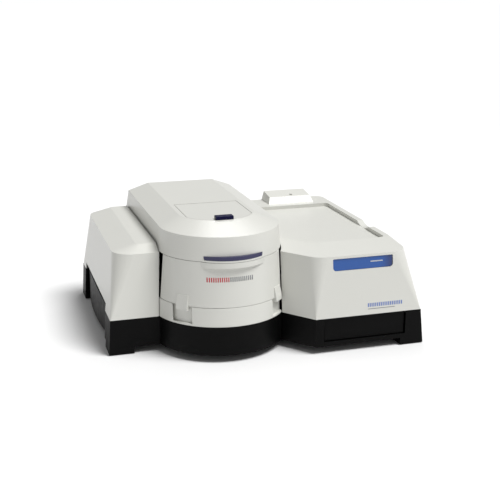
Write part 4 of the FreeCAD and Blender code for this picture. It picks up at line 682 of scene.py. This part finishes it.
@dataclass
class Drum(SubAssembly):
    """The drum's lower ring and its removable front panel, with a printed scale."""

    scale: PrintedScale = field(default_factory=lambda: PrintedScale(-133.0, -44.0, 161.0, 9.0, 23))
    red_strokes: int = 11

    def build(self) -> None:
        """Round the ring and the panel, and print the scale on the panel."""
        self.soften("lower_ring", WHITE_ABS, Slot.WHITE, CRISP)
        self.soften("front_panel", WHITE_ABS, Slot.WHITE, CRISP)
        source = self.frame["nodes"]["front_panel"]
        rows = [("panel_strokes_red", RED_INK, range(self.red_strokes)),
                ("panel_strokes_grey", GREY_INK, range(self.red_strokes, self.scale.strokes))]
        for name, ink, taken in rows:
            piece = self.scale.print_on(source, name, taken)
            dress(piece, ink)
            self.keep(piece, "front_panel", Slot.WHITE)


@dataclass
class Lid(SubAssembly):
    """The lid with its grip strip and hatch, its hinges and the deck under its rear half."""

    def build(self) -> None:
        """Round what shows of the lid, and dress its hinges."""
        self.soften("lid", WHITE_ABS, Slot.WHITE, RIDGES, CRISP)
        self.soften("hatch", WHITE_ABS, Slot.WHITE, FINE)
        self.soften("hatch_pull", NAVY_DARK, Slot.NAVY, FINE)
        self.soften("grip_strip", NAVY_ABS, Slot.NAVY, SOFT)
        self.finish(STEEL, "hatch_pin", "hinge_pins")
        self.finish(BLACK_NYLON, "hinge_brackets")
        self.soften("rear_deck", PANEL_PAINT, Slot.PANEL, FINE)


@dataclass
class Compartment(SubAssembly):
    """The sample compartment: its liner, windows and two cell holders."""

    def build(self) -> None:
        """Dress the dark liner and holders, and the quartz windows."""
        self.soften("compartment_liner", BLACK_ABS, Slot.FITTINGS, FINE)
        self.soften("sample_holder", BLACK_ANODISED, Slot.ANODISED, FINE)
        self.soften("reference_holder", BLACK_ANODISED, Slot.ANODISED, FINE)
        self.finish(QUARTZ, "beam_windows")


@dataclass
class Optics(SubAssembly):
    """Everything on the two optical plates."""

    def build(self) -> None:
        """Give each optical piece the finish of its material."""
        self.finish(ALUMINIUM, "optics_plate", "detector_plate", "optic_stands", "mirror_mounts", "lens_cells")
        self.finish(STEEL, "support_posts", "slit_plates", "grating_motor", "filter_motor")
        self.finish(BLACK_ANODISED, "monochromator_housing", "monochromator_cover", "grating_turret",
                    "filter_wheel", "lamp_housing", "detectors")
        self.finish(MIRROR, "monochromator_mirrors", "beam_splitter", "fold_mirror", "diffraction_grating")
        self.finish(QUARTZ, "lenses", "xenon_lamp")
        self.finish(FILTER_GLASS, "order_filters")
        self.finish(CERAMIC, "lamp_socket")


@dataclass
class Electronics(SubAssembly):
    """Boards and power supply in the base."""

    def build(self) -> None:
        """Dress the boards, the stand-offs and the power supply."""
        self.finish(BOARD, "main_board", "detector_board")
        self.finish(STEEL, "board_standoffs")
        self.finish(ALUMINIUM, "power_supply")


@dataclass
class Rear(SubAssembly):
    """Rear panel with its inlet, socket, switch and fan."""

    def build(self) -> None:
        """Round the fittings that are handled, and dress the rest."""
        self.soften("rear_panel", PANEL_PAINT, Slot.PANEL, FINE)
        self.soften("panel_screws", STEEL, Slot.STEEL, FINE)
        for node in ("mains_inlet", "data_socket", "switch_frame", "power_rocker", "fan_frame"):
            self.soften(node, BLACK_NYLON, Slot.FITTINGS, FINE)
        self.soften("fan_guard", STEEL, Slot.STEEL, FINE)
        self.finish(STEEL, "inlet_blades")
        self.finish(BLACK_NYLON, "fan_rotor")


@dataclass(frozen=True)
class SoftBox:
    """A rectangular light: its place and the point it faces, in metres, its size in metres and its watts."""

    name: str
    at: tuple[float, float, float]
    towards: tuple[float, float, float]
    wide: float
    tall: float
    power: float

    def hang(self) -> None:
        """Add the light to the scene."""
        lamp = bpy.data.lights.new(self.name, "AREA")
        lamp.shape = "RECTANGLE"
        lamp.size = self.wide
        lamp.size_y = self.tall
        lamp.energy = self.power
        holder = bpy.data.objects.new(self.name, lamp)
        holder.location = self.at
        holder.rotation_euler = (Vector(self.towards) - Vector(self.at)).to_track_quat("-Z", "Y").to_euler()
        bpy.context.scene.collection.objects.link(holder)


@dataclass
class Studio:
    """White table, soft lights and the camera. Places are metres and angles are degrees."""

    camera_at: tuple[float, float, float] = (-0.5401, -1.8643, 0.6987)
    turn: float = -16.81
    tilt: float = 15.78
    lens: float = 67.24
    film: float = 36.0
    floor_half: float = 60.0
    floor_cuts: int = 6
    sky: float = 0.32
    sun_from: tuple[float, float, float] = (0.4, -0.35, 1.0)
    sun_angle: float = 28.0
    sun_strength: float = 3.1
    rear: SoftBox = SoftBox("rear_softbox", (0.55, 1.45, 2.1), (-0.08, -0.17, 0.25), 0.9, 0.6, 9.0)

    def build(self) -> None:
        """Set up the floor, the lights, the sky and the camera."""
        self.floor()
        self.world()
        self.sun()
        self.rear.hang()
        self.camera()
        bpy.context.scene.view_settings.view_transform = "Standard"

    def floor(self) -> None:
        """A plain white table, wide enough to have no far edge in view."""
        bpy.ops.object.select_all(action="DESELECT")
        bpy.ops.mesh.primitive_plane_add(size=2 * self.floor_half)
        table = bpy.context.object
        table.name = "table"
        bpy.ops.object.mode_set(mode="EDIT")
        bpy.ops.mesh.subdivide(number_cuts=self.floor_cuts)
        bpy.ops.object.mode_set(mode="OBJECT")
        dress(table, TABLE_WHITE)

    def world(self) -> None:
        """An even white sky, which fills the shadows."""
        world = bpy.data.worlds.new("studio_sky")
        world.use_nodes = True
        world.node_tree.nodes.clear()
        sky = add_node(world.node_tree, "ShaderNodeBackground",
                       {"Color": (1.0, 1.0, 1.0, 1.0), "Strength": self.sky})
        add_node(world.node_tree, "ShaderNodeOutputWorld", links={"Surface": sky.outputs["Background"]})
        bpy.context.scene.world = world

    def sun(self) -> None:
        """One wide, soft light from the front, the right and above."""
        lamp = bpy.data.lights.new("broad_key", "SUN")
        lamp.energy = self.sun_strength
        lamp.angle = math.radians(self.sun_angle)
        holder = bpy.data.objects.new("broad_key", lamp)
        holder.rotation_euler = (-Vector(self.sun_from)).to_track_quat("-Z", "Y").to_euler()
        bpy.context.scene.collection.objects.link(holder)

    def camera(self) -> None:
        """Place the camera in front, to the left of the middle and a little above the lid."""
        turn, tilt = math.radians(self.turn), math.radians(self.tilt)
        level = math.cos(tilt)
        facing = Vector((-math.sin(turn) * level, math.cos(turn) * level, -math.sin(tilt)))
        view = bpy.data.cameras.new("camera")
        view.lens = self.lens
        view.sensor_width = self.film
        holder = bpy.data.objects.new("camera", view)
        holder.location = self.camera_at
        holder.rotation_euler = facing.to_track_quat("-Z", "Y").to_euler()
        bpy.context.scene.collection.objects.link(holder)
        bpy.context.scene.camera = holder


def main() -> None:
    """Build the whole instrument round its frame."""
    logging.basicConfig(level=logging.INFO, format="%(message)s", stream=sys.stdout)
    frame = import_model()
    Studio().build()
    for kind in (Base, Covers, Drum, Lid, Compartment, Optics, Electronics, Rear):
        part = kind(frame)
        part.build()
        LOG.info("%s: %d new pieces", kind.__name__, len(part.pieces))


if __name__ == "__main__":
    main()
